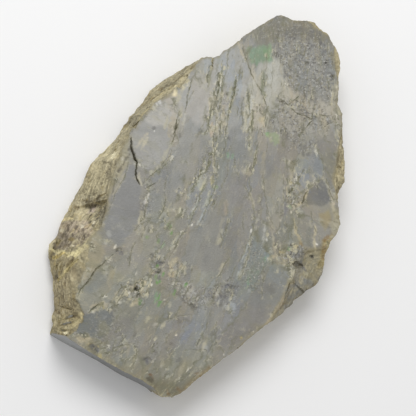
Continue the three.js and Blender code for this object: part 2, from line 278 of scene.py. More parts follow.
# %% Lay out the cracks of the face
# Each open crack: width, depth, and its course as x, y, x, y, all in mm.
OPEN_CRACKS = [
    (0.34, 0.16, -14.7, 30.4, -14.8, 27.6, -14.6, 25, -14.1, 23, -13.9, 20.4),
    (0.34, 0.2, -15.4, 20, -15.4, 17.6, -15.2, 15.6, -14.8, 13, -14.7, 10.2),
    (0.8, 0.55, -15, 16.2, -15, 15.2, -15, 14, -15.1, 13.2),
    (0.72, 0.9, -26.3, 8, -25.8, 6, -24.8, 4.4, -23.7, 3, -22.8, 1.9, -22.3, -0.7, -21.9, -1.9,
     -21, -2.8, -19.9, -4),
    (0.32, 0.1, -10.9, 36.5, -10.8, 33.4, -10.4, 31.2),
    (0.36, 0.13, -7.4, 34.8, -7, 32.4, -6.7, 30.2, -6.5, 28.4, -5.9, 25.8, -5, 24.2),
    (0.38, 0.14, -2.9, 35.6, -2.2, 32.5, -1.9, 30.4, -1.9, 27.3, -1.8, 24.4, -1.4, 22.4),
    (0.34, 0.12, 4.7, 28, 5.4, 25.4, 5.5, 23, 5.1, 21),
    (0.3, 0.15, -4.2, 46, -1.2, 41.2, 0.5, 39.1, 2.1, 37.1, 5, 34.4, 7.6, 31.1, 8.6, 28.8, 8.9, 26),
    (0.34, 0.13, 8.9, 18.6, 9.3, 16, 9.6, 13.4, 9.8, 11),
    (0.32, 0.12, -17.2, -5.4, -16.6, -8, -16.3, -10, -15.8, -13),
    (0.36, 0.3, -17.6, -4.5, -16.9, -3.6, -16.1, -2.4),
    (0.34, 0.2, -22.6, -44.2, -21.4, -41.9, -20.6, -41, -19.8, -40.7),
    (0.36, 0.28, -21.1, -26.1, -22.6, -28.8, -24.4, -31.6, -24.9, -33.6, -25.7, -36, -26.5, -37.8,
     -26.9, -40.7),
    (0.34, 0.22, 11.6, 33.6, 12.9, 33.3, 14.2, 32.9, 15.2, 34.4, 16.3, 36.3),
    (0.3, 0.2, 15.5, 32, 17.2, 31.3, 19.8, 31.5, 22, 30.9, 21.6, 33.4),
    (0.28, 0.18, 21.2, 28.3, 22, 30.1, 22.5, 31.1),
    (0.28, 0.18, 23.9, 33.2, 26.4, 33.6),
    (0.26, 0.14, 25.9, 29.9, 28.2, 32.6),
    (0.26, 0.14, 17.3, 38.8, 18.3, 36),
    (0.36, 0.35, 26.3, 6, 26.4, 8.2, 26.8, 10.2),
    (0.38, 0.4, 29.8, -15, 30.9, -17.6, 30.3, -19.7, 30, -21.2, 29.3, -24.6, 28.2, -27.6),
]
# The seams are closed: only their edges have crumbled a little.
SEAMS = [
    (-13.5, 27.4, -13.8, 24.4), (-14.2, 6.6, -15.4, 4.1, -15.7, 2.2, -15.6, 0.6),
    (-12.7, 2, -13.1, 0, -13, -2.5, -12.2, -4.5, -11.4, -6.2, -11.2, -8.6, -11.6, -11),
    (-8.3, 39.2, -7.6, 36.2), (-6.5, 34.8, -6, 31.5, -5.1, 28.8, -5, 26, -4.6, 24),
    (-6.9, 25, -6.6, 22.8, -6.4, 20, -5.8, 16.4), (-4.1, 24.2, -3.3, 21.5, -2.6, 19, -2.1, 16.6),
    (-1.4, 22.6, -1.1, 20, -0.5, 17.2, 0.3, 15), (-1.5, 38.2, -1.2, 35.8), (1.7, 15.4, 1.3, 13.6),
    (8.6, 30.4, 9, 28.4, 9.6, 26.4, 9.8, 24), (1.1, 34.4, 2.2, 31.5, 3.3, 29, 4.1, 26.5, 4, 24.2),
    (1, 30.6, 1.6, 27.4, 2.9, 23.6, 3.3, 21), (5.8, 20.8, 6.1, 19.4, 6.5, 17.4),
    (-3.7, 16.2, -3.3, 14, -2.4, 12.2, -1.8, 10.3, -1.2, 8.2), (-3, 11.4, -3.3, 9.8, -2.9, 7.6, -3, 6),
    (-3.6, 6.4, -4.5, 5.4, -4.5, 3.8, -4.6, 2.3, -4.8, 0.8, -5.4, -1.2),
    (-0.6, 10.2, 0, 7.8, 0.4, 6, 0.7, 4, 1, 2, 1, 0.5, 0.7, -1.2, 0.7, -3, 0.3, -4.8, 0, -7,
     -0.2, -9.8),
    (2.5, 0.2, 2.2, -2, 1.9, -4.4), (1.8, 11.2, 2.7, 9.2, 3.2, 7, 3, 4.6),
    (-1.6, 5, -1.9, 3, -2.4, 1, -2.6, -0.5, -2.5, -3, -2.4, -4.6, -2.9, -7.2, -2.8, -9.6, -3.4, -12),
    (8.2, 5.9, 9.6, 5.1, 10.5, 4.2, 12.3, 1.9, 13.4, 0, 14.2, -2.6),
    (-16, -13.4, -16.6, -15.6, -17.2, -17.4),
    (-25, 0.8, -24.7, -2.4, -24.7, -4.6, -25.5, -7.4, -25.9, -9.2, -25.8, -11, -26.3, -14.4),
    (-4.2, -13.4, -4.6, -16, -5, -19, -5.5, -21.5, -5.5, -23.8), (-8, -17.4, -8.8, -19.8, -9.4, -21.4),
    (-16.2, -20.8, -16.5, -23, -16.1, -25.5, -15.8, -28.2), (-13.8, -12.6, -14.6, -15.8, -14.8, -18.4),
    (-16.2, -34.6, -17, -37.6, -17.6, -39.6), (-15, -35.4, -15.6, -38, -16.2, -40.2),
    (-6.8, -47.4, -6.6, -50, -6.1, -52.5, -6.3, -54.8), (-12.9, -48.8, -13.2, -50.6, -12.9, -53.2),
    (-10.6, -46.6, -11.2, -48.6, -11.8, -50.4),
    (14.8, -3.4, 15, -6, 15.1, -8, 15.6, -11, 15.9, -13.6, 15.7, -16.5, 15.7, -19, 15.2, -21.2),
    (7.2, -4.4, 7.4, -6.6, 7.7, -9.2), (6.2, -10.2, 7.6, -12, 7.6, -13.8),
    (10.7, -16.4, 10.2, -18.6, 9.9, -20.4, 9.3, -22.6), (11, -2.2, 11.6, -5, 12.7, -7.8),
    (13.4, -36.8, 13.6, -39.4, 13.2, -42.4, 13.4, -45.2), (27.2, 11.4, 28.2, 12.8, 29, 13.7, 29.9, 15),
    (21.6, 18.4, 21, 16.8, 21.2, 14.8), (24.3, 16.8, 23.8, 14.6, 23.1, 12.4),
    (31, 15.6, 32.6, 12.8, 34.2, 10.9, 35.3, 9.6),
    (29.4, 4.8, 30.7, 1.8, 32.4, -0.4, 33.8, -1.6, 35, -3.8),
    (26.1, 0.8, 26.6, -1.4, 28.6, -3.2, 30.5, -4.6), (22.2, 0.6, 20.6, 6.4, 18.7, 12.4),
    (13.6, 9, 15.6, 4.4, 17.8, 0.1, 21.8, -4.7, 24.4, -6.9),
    (27.8, 21.9, 29.2, 19, 30.2, 15.4, 28.4, 12.8), (31.8, 23.8, 33.2, 20, 34.2, 16.3, 33.4, 13.3),
    (-1.7, -39.1, 1.4, -37.2, 4.6, -35.4), (10.3, -37.8, 9.8, -40.4, 8.9, -43.3),
    (15.1, -47.5, 12.1, -43.5, 6.4, -45.4), (-13.1, -51.3, -10.4, -49.6, -7.6, -48.2),
    (12.6, -34.9, 13, -37.6, 13.9, -40.4, 17.3, -42.4), (21.7, -18.1, 22.4, -21.4, 23.2, -24.7),
    (17, 0.8, 18, -1.4, 19.3, -3.2, 21.4, -4.8, 22.3, -3.2, 21.4, 0.6), (20.6, 4, 21.2, 1.4, 21.8, -1),
    (-14.2, 8.6, -14.1, 6.4, -14.4, 4.2, -15.4, 2.5, -17.2, 0.3, -18.4, -2, -19.3, -4.3),
]
SEAM_WIDTH, SEAM_DEPTH = 0.28, 0.06
WANDER, CRACK_STEP = 0.17, 0.3


def pairs(flat):
    """Points from a run of x, y, x, y and so on."""
    return list(zip(flat[::2], flat[1::2]))


def resampled(course, spacing):
    """Points at an even spacing along a course."""
    course = np.array(course, float)
    along = np.concatenate([[0], np.cumsum(np.linalg.norm(np.diff(course, axis=0), axis=1))])
    stops = np.linspace(0, along[-1], max(2, round(along[-1] / spacing) + 1))
    return np.stack([np.interp(stops, along, column) for column in course.T], axis=1)


def crack_points(width, depth, course):
    """Rows of x, y, half width and depth along one crack, narrow at both ends."""
    points = resampled(course, CRACK_STEP)
    ahead = np.gradient(points, axis=0)
    side = np.stack([-ahead[:, 1], ahead[:, 0]], axis=1) / np.linalg.norm(ahead, axis=1)[:, None]
    wander = random_field(points, 1.3, 3) + 0.8 * random_field(points, 0.45, 4)
    size = np.sin(math.pi * np.linspace(0.04, 0.96, len(points))) ** 0.45
    size *= np.clip(1 + 0.6 * random_field(points, 0.9, 5), 0.35, 1.4)
    points = points + side * (WANDER * wander)[:, None]
    return np.column_stack([points, size * width / 2, size * depth])


cracks = [crack_points(width, depth, pairs(flat)) for width, depth, *flat in OPEN_CRACKS]
cracks += [crack_points(SEAM_WIDTH, SEAM_DEPTH, pairs(flat)) for flat in SEAMS]
print(len(cracks), "cracks,", sum(len(rows) for rows in cracks), "points on them")

# %% [markdown]
# ## Where the skin needs small faces
# The whole skin may have 200,000 triangles at most, so small ones go only where there is
# something to shape: along cracks, on the broken flank, in rough patches and at the rim.
# Patches are outlines with few corners. Their edges are made ragged by moving each point a
# little, mostly along the grain, before asking how deep inside the outline it lies.


# %% Measure points against outlines and lines
def depth_inside(points, outline):
    """How far points lie inside a closed outline, in mm, and negative outside it."""
    corners = np.array(outline, float)
    nearest = np.full(len(points), np.inf)
    inside = np.zeros(len(points), bool)
    for a, b in zip(corners, np.roll(corners, -1, axis=0)):
        edge = b - a
        share = np.clip(((points - a) @ edge) / (edge @ edge), 0, 1)
        nearest = np.minimum(nearest, np.linalg.norm(points - a - share[:, None] * edge, axis=1))
        spans = (a[1] > points[:, 1]) != (b[1] > points[:, 1])
        crossing = a[0] + (points[:, 1] - a[1]) * edge[0] / (edge[1] if edge[1] else 1e-9)
        inside ^= spans & (points[:, 0] < crossing)
    return np.where(inside, nearest, -nearest)


def gap_and_reach(points, course):
    """Distance from points to an open course, and how far along it the nearest place is."""
    corners = np.array(course, float)
    lengths = np.linalg.norm(np.diff(corners, axis=0), axis=1)
    before = np.concatenate([[0], np.cumsum(lengths)])
    nearest, reached = np.full(len(points), np.inf), np.zeros(len(points))
    for a, b, length, start in zip(corners[:-1], corners[1:], lengths, before):
        edge = b - a
        share = np.clip(((points - a) @ edge) / (edge @ edge), 0, 1)
        gap = np.linalg.norm(points - a - share[:, None] * edge, axis=1)
        closer = gap < nearest
        reached[closer] = ((start + share * length) / before[-1])[closer]
        nearest = np.minimum(nearest, gap)
    return nearest, reached


def smooth(low_edge, high_edge, value):
    """0 below the low edge, 1 above the high edge, and a soft step between."""
    share = np.clip((value - low_edge) / (high_edge - low_edge), 0, 1)
    return share * share * (3 - 2 * share)


def frayed(points, reach=0.9):
    """Points moved a little, mostly along the grain, to make the edges of patches ragged."""
    stretched = np.column_stack([across_grain(points), points[:, 1] / 5])
    slide = 1.6 * random_field(stretched, 0.9, 11) + 0.8 * random_field(stretched, 0.45, 12)
    shift = np.stack([random_field(points, 2.2, 13), random_field(points, 2.2, 14)], axis=1)
    return points + reach * (grain_direction(points) * slide[:, None] + 0.7 * shift)


middle_depth = depth_inside(np.zeros((1, 2)), outline[:, :2])[0]
print(f"the middle of the slice lies {middle_depth:.0f} mm inside its outline")

# %% Outline the rough patches
# Patches where grains broke out of the face: how rough they are, then their outline.
ROUGH_PATCHES = [
    (0.8, 5.4, 51, 5.8, 46.8, 9.9, 40.4, 17, 36, 27.5, 37, 27, 46, 23.5, 53, 16, 57, 10.5, 54.1),
    (0.4, -1, 54, 1, 49.5, 8.5, 50, 16, 55.5, 15, 60.5, 3, 59),
    (0.85, 10, 34.5, 10.5, 25, 17.5, 23, 27, 29, 30.5, 31, 28, 35, 17, 36.5),
    (0.5, 16, 24, 26, 27, 26, 19, 17, 20),
    (0.7, -9, -20.5, -2, -24, 3, -27, 8, -25.5, 13, -20.5, 17.5, -22.5, 15, -30, 4, -33, -3, -30.5),
    (1, 24, -7, 28, -5, 33.5, -6, 34, -12.5, 29, -15, 24.5, -12),
    (0.8, -16, -31, -11, -30, -8.5, -35.5, -14, -38, -16.5, -35),
    (0.7, -11, -23, -8, -22, -6, -28, -10.5, -28.5),
    (0.8, 20.4, 13.5, 24, 13, 26.6, 6, 25, 4, 21, 5),
    (0.6, -6, 12, -1, 13, 0.6, 5, -1, 1, -5, 2.6, -6, 6),
    (0.5, -8, 30.5, -2, 33, 0, 19, -4, 17),
    (0.5, -19, -3, -14.5, -1, -14, -12, -17.5, -15),
    (0.5, 14, -8, 22, -10, 22, -23, 16, -22),
    (0.4, -22, -40, -15, -39, -9, -48, -12, -54, -22, -51),
]
# Bands where the stone beside a seam crumbled: how much, half width, then the course.
CRUMBLED = [
    (0.6, 0.6, -11, 38.4, -10.8, 33, -10.2, 30, -9.6, 28),
    (0.9, 1, -7.6, 37, -6.9, 31, -6, 27, -5.4, 24.4), (0.9, 1.1, -7, 25, -6.6, 21, -6.7, 17.5),
    (0.8, 1.4, -4.8, 25, -3.6, 20, -3.2, 16, -2.2, 13),
    (0.9, 0.6, -2.8, 36, -2, 31, -1.9, 27, -1.6, 22.5), (0.6, 0.8, -0.8, 20, -0.9, 17, -0.4, 14.6),
    (0.6, 0.6, 1.2, 34, 2.4, 30, 3.6, 25, 4.6, 21), (0.8, 0.8, 5, 28, 5.6, 23, 6.2, 19, 6.6, 16.8),
    (0.7, 0.7, 8.4, 30, 9.3, 26, 9.7, 22), (0.8, 0.6, 8.9, 19, 9.6, 14, 9.8, 10.5),
    (0.8, 0.7, 4.4, 40, 5.6, 36, 6.6, 33.4), (0.6, 0.5, -15.2, 20, -15, 15, -14.8, 10),
    (1, 1.1, -2.6, 13, -2.8, 10, -3.2, 7.5, -4.6, 4.5, -5.2, 1),
    (0.8, 0.8, -1.2, 12, -0.8, 8, -0.4, 5, 0.5, 2, 0.8, -1, 1.4, -3.5),
    (0.6, 0.9, -3, -2, -2.8, -6, -3.6, -10, -4.8, -15, -5.6, -20),
    (0.6, 1.5, -11, -7, -11.4, -11, -12.6, -15), (0.6, 1.2, -16.2, -12, -16.6, -15, -15.4, -18),
    (0.8, 1.2, -2.6, -46, -1.6, -48), (0.7, 1, -3.6, -24.8, -2.8, -26),
    (0.8, 1, -27.5, 11, -24.8, 15, -22.6, 18.6), (0.9, 1.6, 22.6, 13.4, 22.6, 9, 23, 5, 25.6, 5),
    (0.8, 0.8, 26.4, 12, 26.6, 8, 26.2, 5.4), (0.9, 2.1, 24.4, -8.4, 27, -7.8, 27.6, -11, 26.4, -13.6),
    (0.9, 1, 36.6, 6, 37.6, 2, 37.4, -2, 36.6, -6, 36.8, -9),
    (0.6, 1, 30.2, 32, 32.6, 27, 34.2, 21, 35.6, 15), (0.6, 0.7, 31, 15.6, 34.2, 10.8, 35.8, 7),
    (1, 2.6, -14.6, -33, -11.4, -34.4, -9.8, -32),
    (0.8, 1, -22, -43, -19.6, -40.8, -16.5, -39.8, -15.6, -36),
    (0.8, 1.1, -25.4, -51, -22.5, -50.7, -19, -51.6, -16, -52.6, -13, -51.5),
    (0.7, 0.9, -13, -46.8, -10.6, -48.4, -10.6, -51),
    (0.7, 0.8, -7, -47, -6.4, -52, -7.2, -55, -3, -57), (0.6, 1.6, -10, -22.6, -5, -23.5, 0, -23),
    (0.5, 1.2, 1, -28.4, 4.5, -30.4), (0.7, 1.5, 11, 34, 15.4, 33.4),
    (0.7, 0.8, 21, 28.6, 21.4, 33.4, 25, 33.2), (0.5, 0.5, 15.2, -4, 15.4, -10, 15.8, -15, 15.2, -21),
    (0.7, 0.7, 29.2, -15, 30.4, -18.4, 29.6, -23, 27.6, -28.4),
    (0.5, 1.4, 4, -53.6, 10, -52.4, 13.6, -48.6),
    (0.6, 1.2, -28.2, -14, -29, -24, -28.6, -34, -27, -41), (0.7, 0.9, -28.4, 8, -27.6, 2, -27.4, -6),
    (0.7, 1.2, 22.6, 53.7, 24.1, 50.4, 25.5, 46.6, 26.6, 42.6, 26.9, 39.6),
    (0.5, 1.2, 28, 34, 29.6, 31, 31, 28), (0.5, 0.7, 17, 16.4, 22, 17, 24, 15, 30, 15.6),
    (0.8, 0.9, 28.6, 35.5, 31.5, 29, 34, 22.4, 35.6, 17, 35.4, 12.8, 35, 9.4),
    (0.6, 0.5, -14.2, 8, -14.4, 4.4, -15.6, 2.4, -17.4, 0.2, -19.4, -4.4),
]
# Small cleavage faces whose glints are painted in as highlights, as x, y, x, y.
PAINTED_GLINTS = (
    -20.6, 12.2, 5.4, -30.3, 23.4, -34.4, 17.5, -43.2, 19.6, -7.6, -21.2, -23.3,
    34, -4, 24, 2.7, 2.7, -42.2, -2.2, -10.4, 36.4, -3.6, 14.6, -6.4, -3.2, -6,
)
FINE, DETAIL_REACH, CRACK_REACH, GLINT_REACH = 0.26, 0.9, 0.5, 0.8


def distance_to(places, points):
    """Distance in mm from each of some points to the nearest of some places."""
    tree = KDTree(len(places))
    for index, (x, y) in enumerate(places):
        tree.insert((x, y, 0), index)
    tree.balance()
    return np.array([tree.find((x, y, 0))[2] for x, y in points])


def roughness_of(points):
    """How broken the face is at points: 0 on sound stone and up to 1 in the rough patches."""
    moved = frayed(points)
    rough = np.zeros(len(points))
    for amount, *flat in ROUGH_PATCHES:
        depth = depth_inside(moved, pairs(flat))
        rough = np.maximum(rough, amount * smooth(-0.8, 1.4, depth))
    return rough


def crumbled_share(points):
    """How crumbled the stone is at points, from the bands beside the seams."""
    moved = frayed(points, 0.4)
    uneven = 1 + 0.5 * random_field(points, 1.7, 15) + 0.4 * random_field(points, 0.7, 16)
    share = np.zeros(len(points))
    for amount, half_width, *flat in CRUMBLED:
        gap, _ = gap_and_reach(moved, pairs(flat))
        share = np.maximum(share, amount * smooth(1.5, 0.6, gap / (half_width * uneven)))
    return share


print(len(ROUGH_PATCHES), "rough patches,", len(CRUMBLED), "crumbled bands")

# %% [markdown]
# ## Pits and the broken corner
# A few grains fell out whole and left deep pits. At the near left corner the brown outside
# of the lump reaches over the rim, a little lower than the face and as rough as the flank.
# Both are depths below the flat face, which the top sheet takes on when it is lifted.

# %% Lay out the pits and the broken corner
# Each pit: x, y, half width, half length, depth, and its turn in radians.
PITS = [
    (-12.1, -33.2, 0.7, 0.9, 0.9, 0.4), (-10.8, -34.8, 0.6, 1, 0.4, -0.3),
    (-9.9, -22.9, 1.4, 0.9, 0.35, 0.3), (-7.6, -24.2, 1.3, 0.8, 0.3, 0.2),
    (-19.7, -24.3, 0.9, 1.2, 0.25, 0.8), (-3.2, -51.5, 1.4, 0.8, 0.3, 0.5),
    (-18.3, -53.5, 1.8, 0.8, 0.22, -0.5), (29.9, -8.6, 1.1, 1.6, 0.2, -0.5),
    (31.3, -11.4, 2, 1, 0.2, 0.2), (33.7, -7.7, 0.6, 0.5, 0.25, 0), (21.5, 48.8, 0.9, 0.6, 0.35, 0.3),
    (24.1, 45.6, 0.8, 0.6, 0.3, 0), (6.9, 46.2, 0.5, 1, 0.25, 0), (15.8, 46.9, 0.6, 0.5, 0.25, 0.2),
    (22.8, 8.2, 1, 1.8, 0.3, -0.3), (12.4, -24.2, 0.9, 0.7, 0.25, 0.6),
    (14.2, -23.9, 0.9, 0.6, 0.2, 0.2), (4.9, -33, 1.2, 0.5, 0.25, -0.4),
    (-8, -26.9, 1.2, 0.4, 0.3, -0.1), (35, 20.8, 1.1, 0.6, 0.3, 0.1), (36.4, -9, 0.5, 0.9, 0.3, 0),
    (12.5, 33, 1.1, 0.5, 0.35, -0.3),
]
# Where the weathered outside reaches over the rim: how much, how deep, how soft its edge is,
# then the outline. A crust reaches down the flank as far as CRUST_REACH, in mm.
CRUSTS = [
    (1, 0.4, 0.3, -34, -40, -27.6, -41.4, -25.2, -43.4, -23.5, -44.7, -23.8, -48.4, -25.2, -51.2,
     -26.7, -52.3, -30, -54, -34, -54),
    (0.8, 0.15, 0.7, -34, -26, -28, -25.5, -26.9, -29, -27.3, -34, -27.4, -39, -27.2, -42, -34, -44),
    (0.42, 0.1, 1.4, -0.5, -57.2, 3, -56, 7, -56, 10.5, -54.2, 13, -50.4, 14.6, -51, 9, -60, 4, -64,
     -2, -61),
    (0.42, 0.1, 1, -24, -51.4, -19, -51.4, -15, -53.4, -11, -54.6, -7, -57.4, -14, -60, -25, -55),
    (0.45, 0.1, 1.2, 30, -6, 33, -5.4, 36, -2.6, 41, -3, 41, -11, 38, -16, 34, -14.6, 31.4, -13,
     29.4, -11),
    (0.45, 0.1, 0.8, 35, 8.6, 36.7, 5.8, 35.6, 2, 36.8, -0.6, 42, 2, 41, 10),
    (0.45, 0.1, 0.8, 22, 56, 23, 50, 24.6, 46, 26.2, 41, 26.6, 38, 32, 38, 32, 48, 28, 57),
]
CRUST_REACH = 2


def pit_share(points):
    """How deep in a pit points lie, in mm."""
    depths = np.zeros(len(points))
    for x, y, half_width, half_length, depth, turn in PITS:
        away = points - (x, y)
        away = away @ np.array([[math.cos(turn), -math.sin(turn)], [math.sin(turn), math.cos(turn)]])
        gap = np.hypot(away[:, 0] / half_width, away[:, 1] / half_length)
        gap += 0.35 * random_field(points, 0.9, 31) + 0.25 * random_field(points, 0.45, 34)
        depths = np.maximum(depths, depth * smooth(1.15, 0.35, gap))
    return depths


def crust_at(points):
    """How much of the weathered crust there is at points, and how deep below the face."""
    moved = points + 0.5 * np.stack([random_field(points, 1.3, s) for s in (32, 33)], axis=1)
    share, depth = np.zeros(len(points)), np.zeros(len(points))
    for amount, below, soft, *flat in CRUSTS:
        within = smooth(-soft / 2, soft, depth_inside(moved, pairs(flat)))
        share, depth = np.maximum(share, amount * within), np.maximum(depth, below * within)
    return share, depth


print(len(PITS), "pits, up to", max(pit[4] for pit in PITS), "mm deep")

# %% [markdown]
# ## Building the skin from three sheets
# The skin is made of a top sheet, a wall and an underside that share their edges. Each is
# first drawn flat, as points in a plane: the top and the underside from above, and the wall
# unrolled. A constrained Delaunay triangulation joins the points and keeps the outline, the
# rim and the cracks as edges, so that nothing crisp is cut across by a triangle. Then every
# point is lifted on to the rock with a ray.


# %% Join the points of a sheet
ROW_GAP, JOIN_NEAR = 0.866, 1e-7


def even_lattice(x_range, y_range, spacing):
    """Points of a triangular lattice, and which of them make up its coarser third."""
    rows = np.arange(math.floor(y_range[0] / spacing / ROW_GAP), y_range[1] / spacing / ROW_GAP)
    columns = np.arange(-len(rows) - x_range[1] / spacing, len(rows) + x_range[1] / spacing)
    i, j = np.meshgrid(np.floor(columns), rows)
    i, j = i.ravel(), j.ravel()
    x, y = (i + j / 2) * spacing, j * spacing * ROW_GAP
    keep = (x > x_range[0]) & (x < x_range[1]) & (y > y_range[0]) & (y < y_range[1])
    return np.stack([x, y], axis=1)[keep], ((i - j) % 3 == 0)[keep]


def joined(border, courses, loose):
    """Triangles over a closed border, with open courses kept as edges and loose points
    between them. Gives the flat points, their number in the border or -1, and the faces."""
    points, edges = [border], []
    count = len(border)
    for course in courses:
        points.append(course)
        edges += [(count + i, count + i + 1) for i in range(len(course) - 1)]
        count += len(course)
    points.append(loose)
    flat = [Vector(p) for p in np.concatenate(points)]
    ring = [list(range(len(border)))]
    out, _, faces, came_from, _, within = delaunay_2d_cdt(flat, edges, ring, 0, JOIN_NEAR, True)
    faces = [face for face, old in zip(faces, within) if old]
    number = np.array([min(old) if old and min(old) < len(border) else -1 for old in came_from])
    return np.array([tuple(p) for p in out]), number, np.array(faces)


extent = [(low[axis] / MM, high[axis] / MM) for axis in (0, 1)]
loose, coarse = even_lattice(*extent, FINE)
print(f"a lattice of {len(loose)} points over the slice, {coarse.mean():.0%} of them coarse")

# %% Draw and lift the top sheet
RIM_GAP, EDGE_GAP, POINT_GAP, ROUGH_ENOUGH = 0.45, 0.2, 0.14, 0.3
rim_courses, course = [], []
for point, rim_r, edge_r in zip(rim, rim_radii, edge_radii):
    if edge_r - rim_r > RIM_GAP:
        course.append(point)
    elif course:
        rim_courses.append(np.array(course))
        course = []
if course:
    rim_courses.append(np.array(course))
rim_courses = [c for c in rim_courses if len(c) > 2]
crack_courses = [rows[:, :2] for rows in cracks]

radius = np.hypot(loose[:, 0], loose[:, 1])
kept = radius < around(loose, edge_radii) - EDGE_GAP
loose, coarse, radius = loose[kept], coarse[kept], radius[kept]
detail = (
    (radius > around(loose, rim_radii) - DETAIL_REACH)
    | (distance_to(np.concatenate(crack_courses), loose) < CRACK_REACH)
    | (roughness_of(loose) > ROUGH_ENOUGH)
    | (pit_share(loose) > 0)
    | (distance_to(pairs(PAINTED_GLINTS), loose) < GLINT_REACH)
    | (crust_at(loose)[0] > 0)
)
loose = loose[detail | coarse]
drawn = np.concatenate([outline[:, :2], *rim_courses, *crack_courses])
loose = loose[distance_to(drawn, loose) > POINT_GAP]
top_flat, top_number, top_faces = joined(outline[:, :2], rim_courses + crack_courses, loose)


def lifted(points, numbers):
    """Points of the top sheet at their height: the face is flat, the flank is the rock's."""
    radius = np.hypot(points[:, 0], points[:, 1])
    beyond_rim = radius > around(points, rim_radii)
    heights = np.full(len(points), FACE)
    for index in np.flatnonzero(beyond_rim | (numbers >= 0)):
        if numbers[index] >= 0:
            heights[index] = outline[numbers[index], 2]
        else:
            found = height_at(*points[index])
            heights[index] = FACE if found is None else found
    broken = crust_at(points)[1] * smooth(FACE - CRUST_REACH, FACE, heights)
    heights -= (broken + pit_share(points)) * (numbers < 0)
    return np.column_stack([points, heights])


top = lifted(top_flat, top_number)
print(f"top sheet: {len(top)} points, {len(top_faces)} triangles, {detail.mean():.0%} detailed")

# %% Draw and wrap the wall
WALL_SPACING, WALL_GAP, LEVEL_GAP = 0.5, 0.25, 0.05
OUTSIDE_ALL = 80
# The saw ran a little askew, so the foot of the sawn end stands in by this much. The lean
# starts, is full, is still full and has gone at these bearings.
SAW_LEAN = 1.35
LEAN_BEARINGS = (-121.0, -104.0, -90.0, -85.0)
closed_angles = np.append(angles, angles[0] + 2 * math.pi)
steps = np.linalg.norm(np.diff(np.vstack([outline, outline[:1]])[:, :2], axis=0), axis=1)
along_wall = np.concatenate([[0], np.cumsum(steps)])
wall_top = np.append(outline[:, 2], outline[0, 2])
seam = np.linspace(0, wall_top[0], round(wall_top[0] / WALL_SPACING) + 1)[1:-1]
wall_border = np.concatenate([
    np.column_stack([along_wall, np.zeros(len(along_wall))]),
    np.column_stack([np.full(len(seam), along_wall[-1]), seam]),
    np.column_stack([along_wall, wall_top])[::-1],
    np.column_stack([np.zeros(len(seam)), seam])[::-1],
])


def wall_radius(angle, height):
    """Radius of the wall at an angle and a height, met by a level ray from outside."""
    cos, sin = math.cos(angle), math.sin(angle)
    level = min(max(height, LEVEL_GAP), FACE - LEVEL_GAP)
    hit = rock.ray_cast((OUTSIDE_ALL * cos, OUTSIDE_ALL * sin, level), (-cos, -sin, 0))[0]
    bearing = math.degrees(math.atan2(sin, cos))
    first, full, last, gone = LEAN_BEARINGS
    lean = SAW_LEAN * smooth(first, full, bearing) * smooth(gone, last, bearing)
    return math.hypot(hit.x, hit.y) - lean * (1 - height / FACE)


wall_loose, _ = even_lattice((0, along_wall[-1]), (0, FACE), WALL_SPACING)
below_top = wall_loose[:, 1] < np.interp(wall_loose[:, 0], along_wall, wall_top) - WALL_GAP
between = (wall_loose[:, 0] > WALL_GAP) & (wall_loose[:, 0] < along_wall[-1] - WALL_GAP)
wall_loose = wall_loose[below_top & between & (wall_loose[:, 1] > WALL_GAP)]
wall_flat, wall_number, wall_faces = joined(wall_border, [], wall_loose)
count = len(along_wall)
wall = []
for (s, height), number in zip(wall_flat, wall_number):
    on_outline = number - count - len(seam)
    if 0 <= on_outline < count:
        wall.append(outline[(count - 1 - on_outline) % len(outline)])
    else:
        angle = np.interp(s, along_wall, closed_angles)
        if number >= count:
            angle = closed_angles[0]
        radius = wall_radius(angle, height)
        wall.append((radius * math.cos(angle), radius * math.sin(angle), height))
wall = np.array(wall)
print(f"wall: {len(wall)} points, {len(wall_faces)} triangles")

# %% Draw the underside and join the sheets
UNDER_SPACING, UNDER_GAP = 1.7, 0.8
WELD = 2e-6
foot = wall[[np.flatnonzero(wall_number == i)[0] for i in range(len(outline))]]
under_loose, _ = even_lattice(*extent, UNDER_SPACING)
foot_radii = np.hypot(foot[:, 0], foot[:, 1])
kept = np.hypot(*under_loose.T) < around(under_loose, foot_radii) - UNDER_GAP
under_loose = under_loose[kept]
under_flat, _, under_faces = joined(foot[:, :2], [], under_loose)
under = np.column_stack([under_flat, np.zeros(len(under_flat))])

points = np.concatenate([top, wall, under]) * MM
faces = np.concatenate([
    top_faces, wall_faces + len(top), under_faces[:, ::-1] + len(top) + len(wall)
])
mesh = bpy.data.meshes.new("labradorite_skin")
mesh.from_pydata(points.tolist(), [], faces.tolist())
joining = bmesh.new()
joining.from_mesh(mesh)
bmesh.ops.remove_doubles(joining, verts=joining.verts, dist=WELD)
bmesh.ops.holes_fill(joining, edges=[e for e in joining.edges if e.is_boundary], sides=4)
open_edges = sum(not edge.is_manifold for edge in joining.edges)
joining.to_mesh(mesh)
joining.free()
mesh.validate()
print(f"skin: {len(mesh.vertices)} points, {len(mesh.polygons)} faces, {open_edges} open edges")

# %% [markdown]
# ## Telling the surfaces apart
# The finish depends on where a point is: on the lapped face, on the weathered rind, on the
# sawn end or underneath. These shares are worked out once for each point of the skin and
# kept as attributes, which both Geometry Nodes and the material can read.

# %% Share out the surfaces
SAWN_START, SAWN_END = -120.6, -88.3
SAW_NORMAL = (-0.235, -0.972, 0)
UNDER_HEIGHT, UPPER_PART, PIT_PART = 0.15, 1.5, 2.2

places = np.empty(len(mesh.vertices) * 3)
mesh.vertices.foreach_get("co", places)
places = places.reshape(-1, 3) / MM
plan, height = places[:, :2], places[:, 2]

from_rim = distance_to(rim, plan)
rim_depth = np.where(np.hypot(*plan.T) < around(plan, rim_radii), from_rim, -from_rim)
rim_depth = np.where(height > FACE - UPPER_PART, rim_depth, -np.maximum(from_rim, FACE - height))

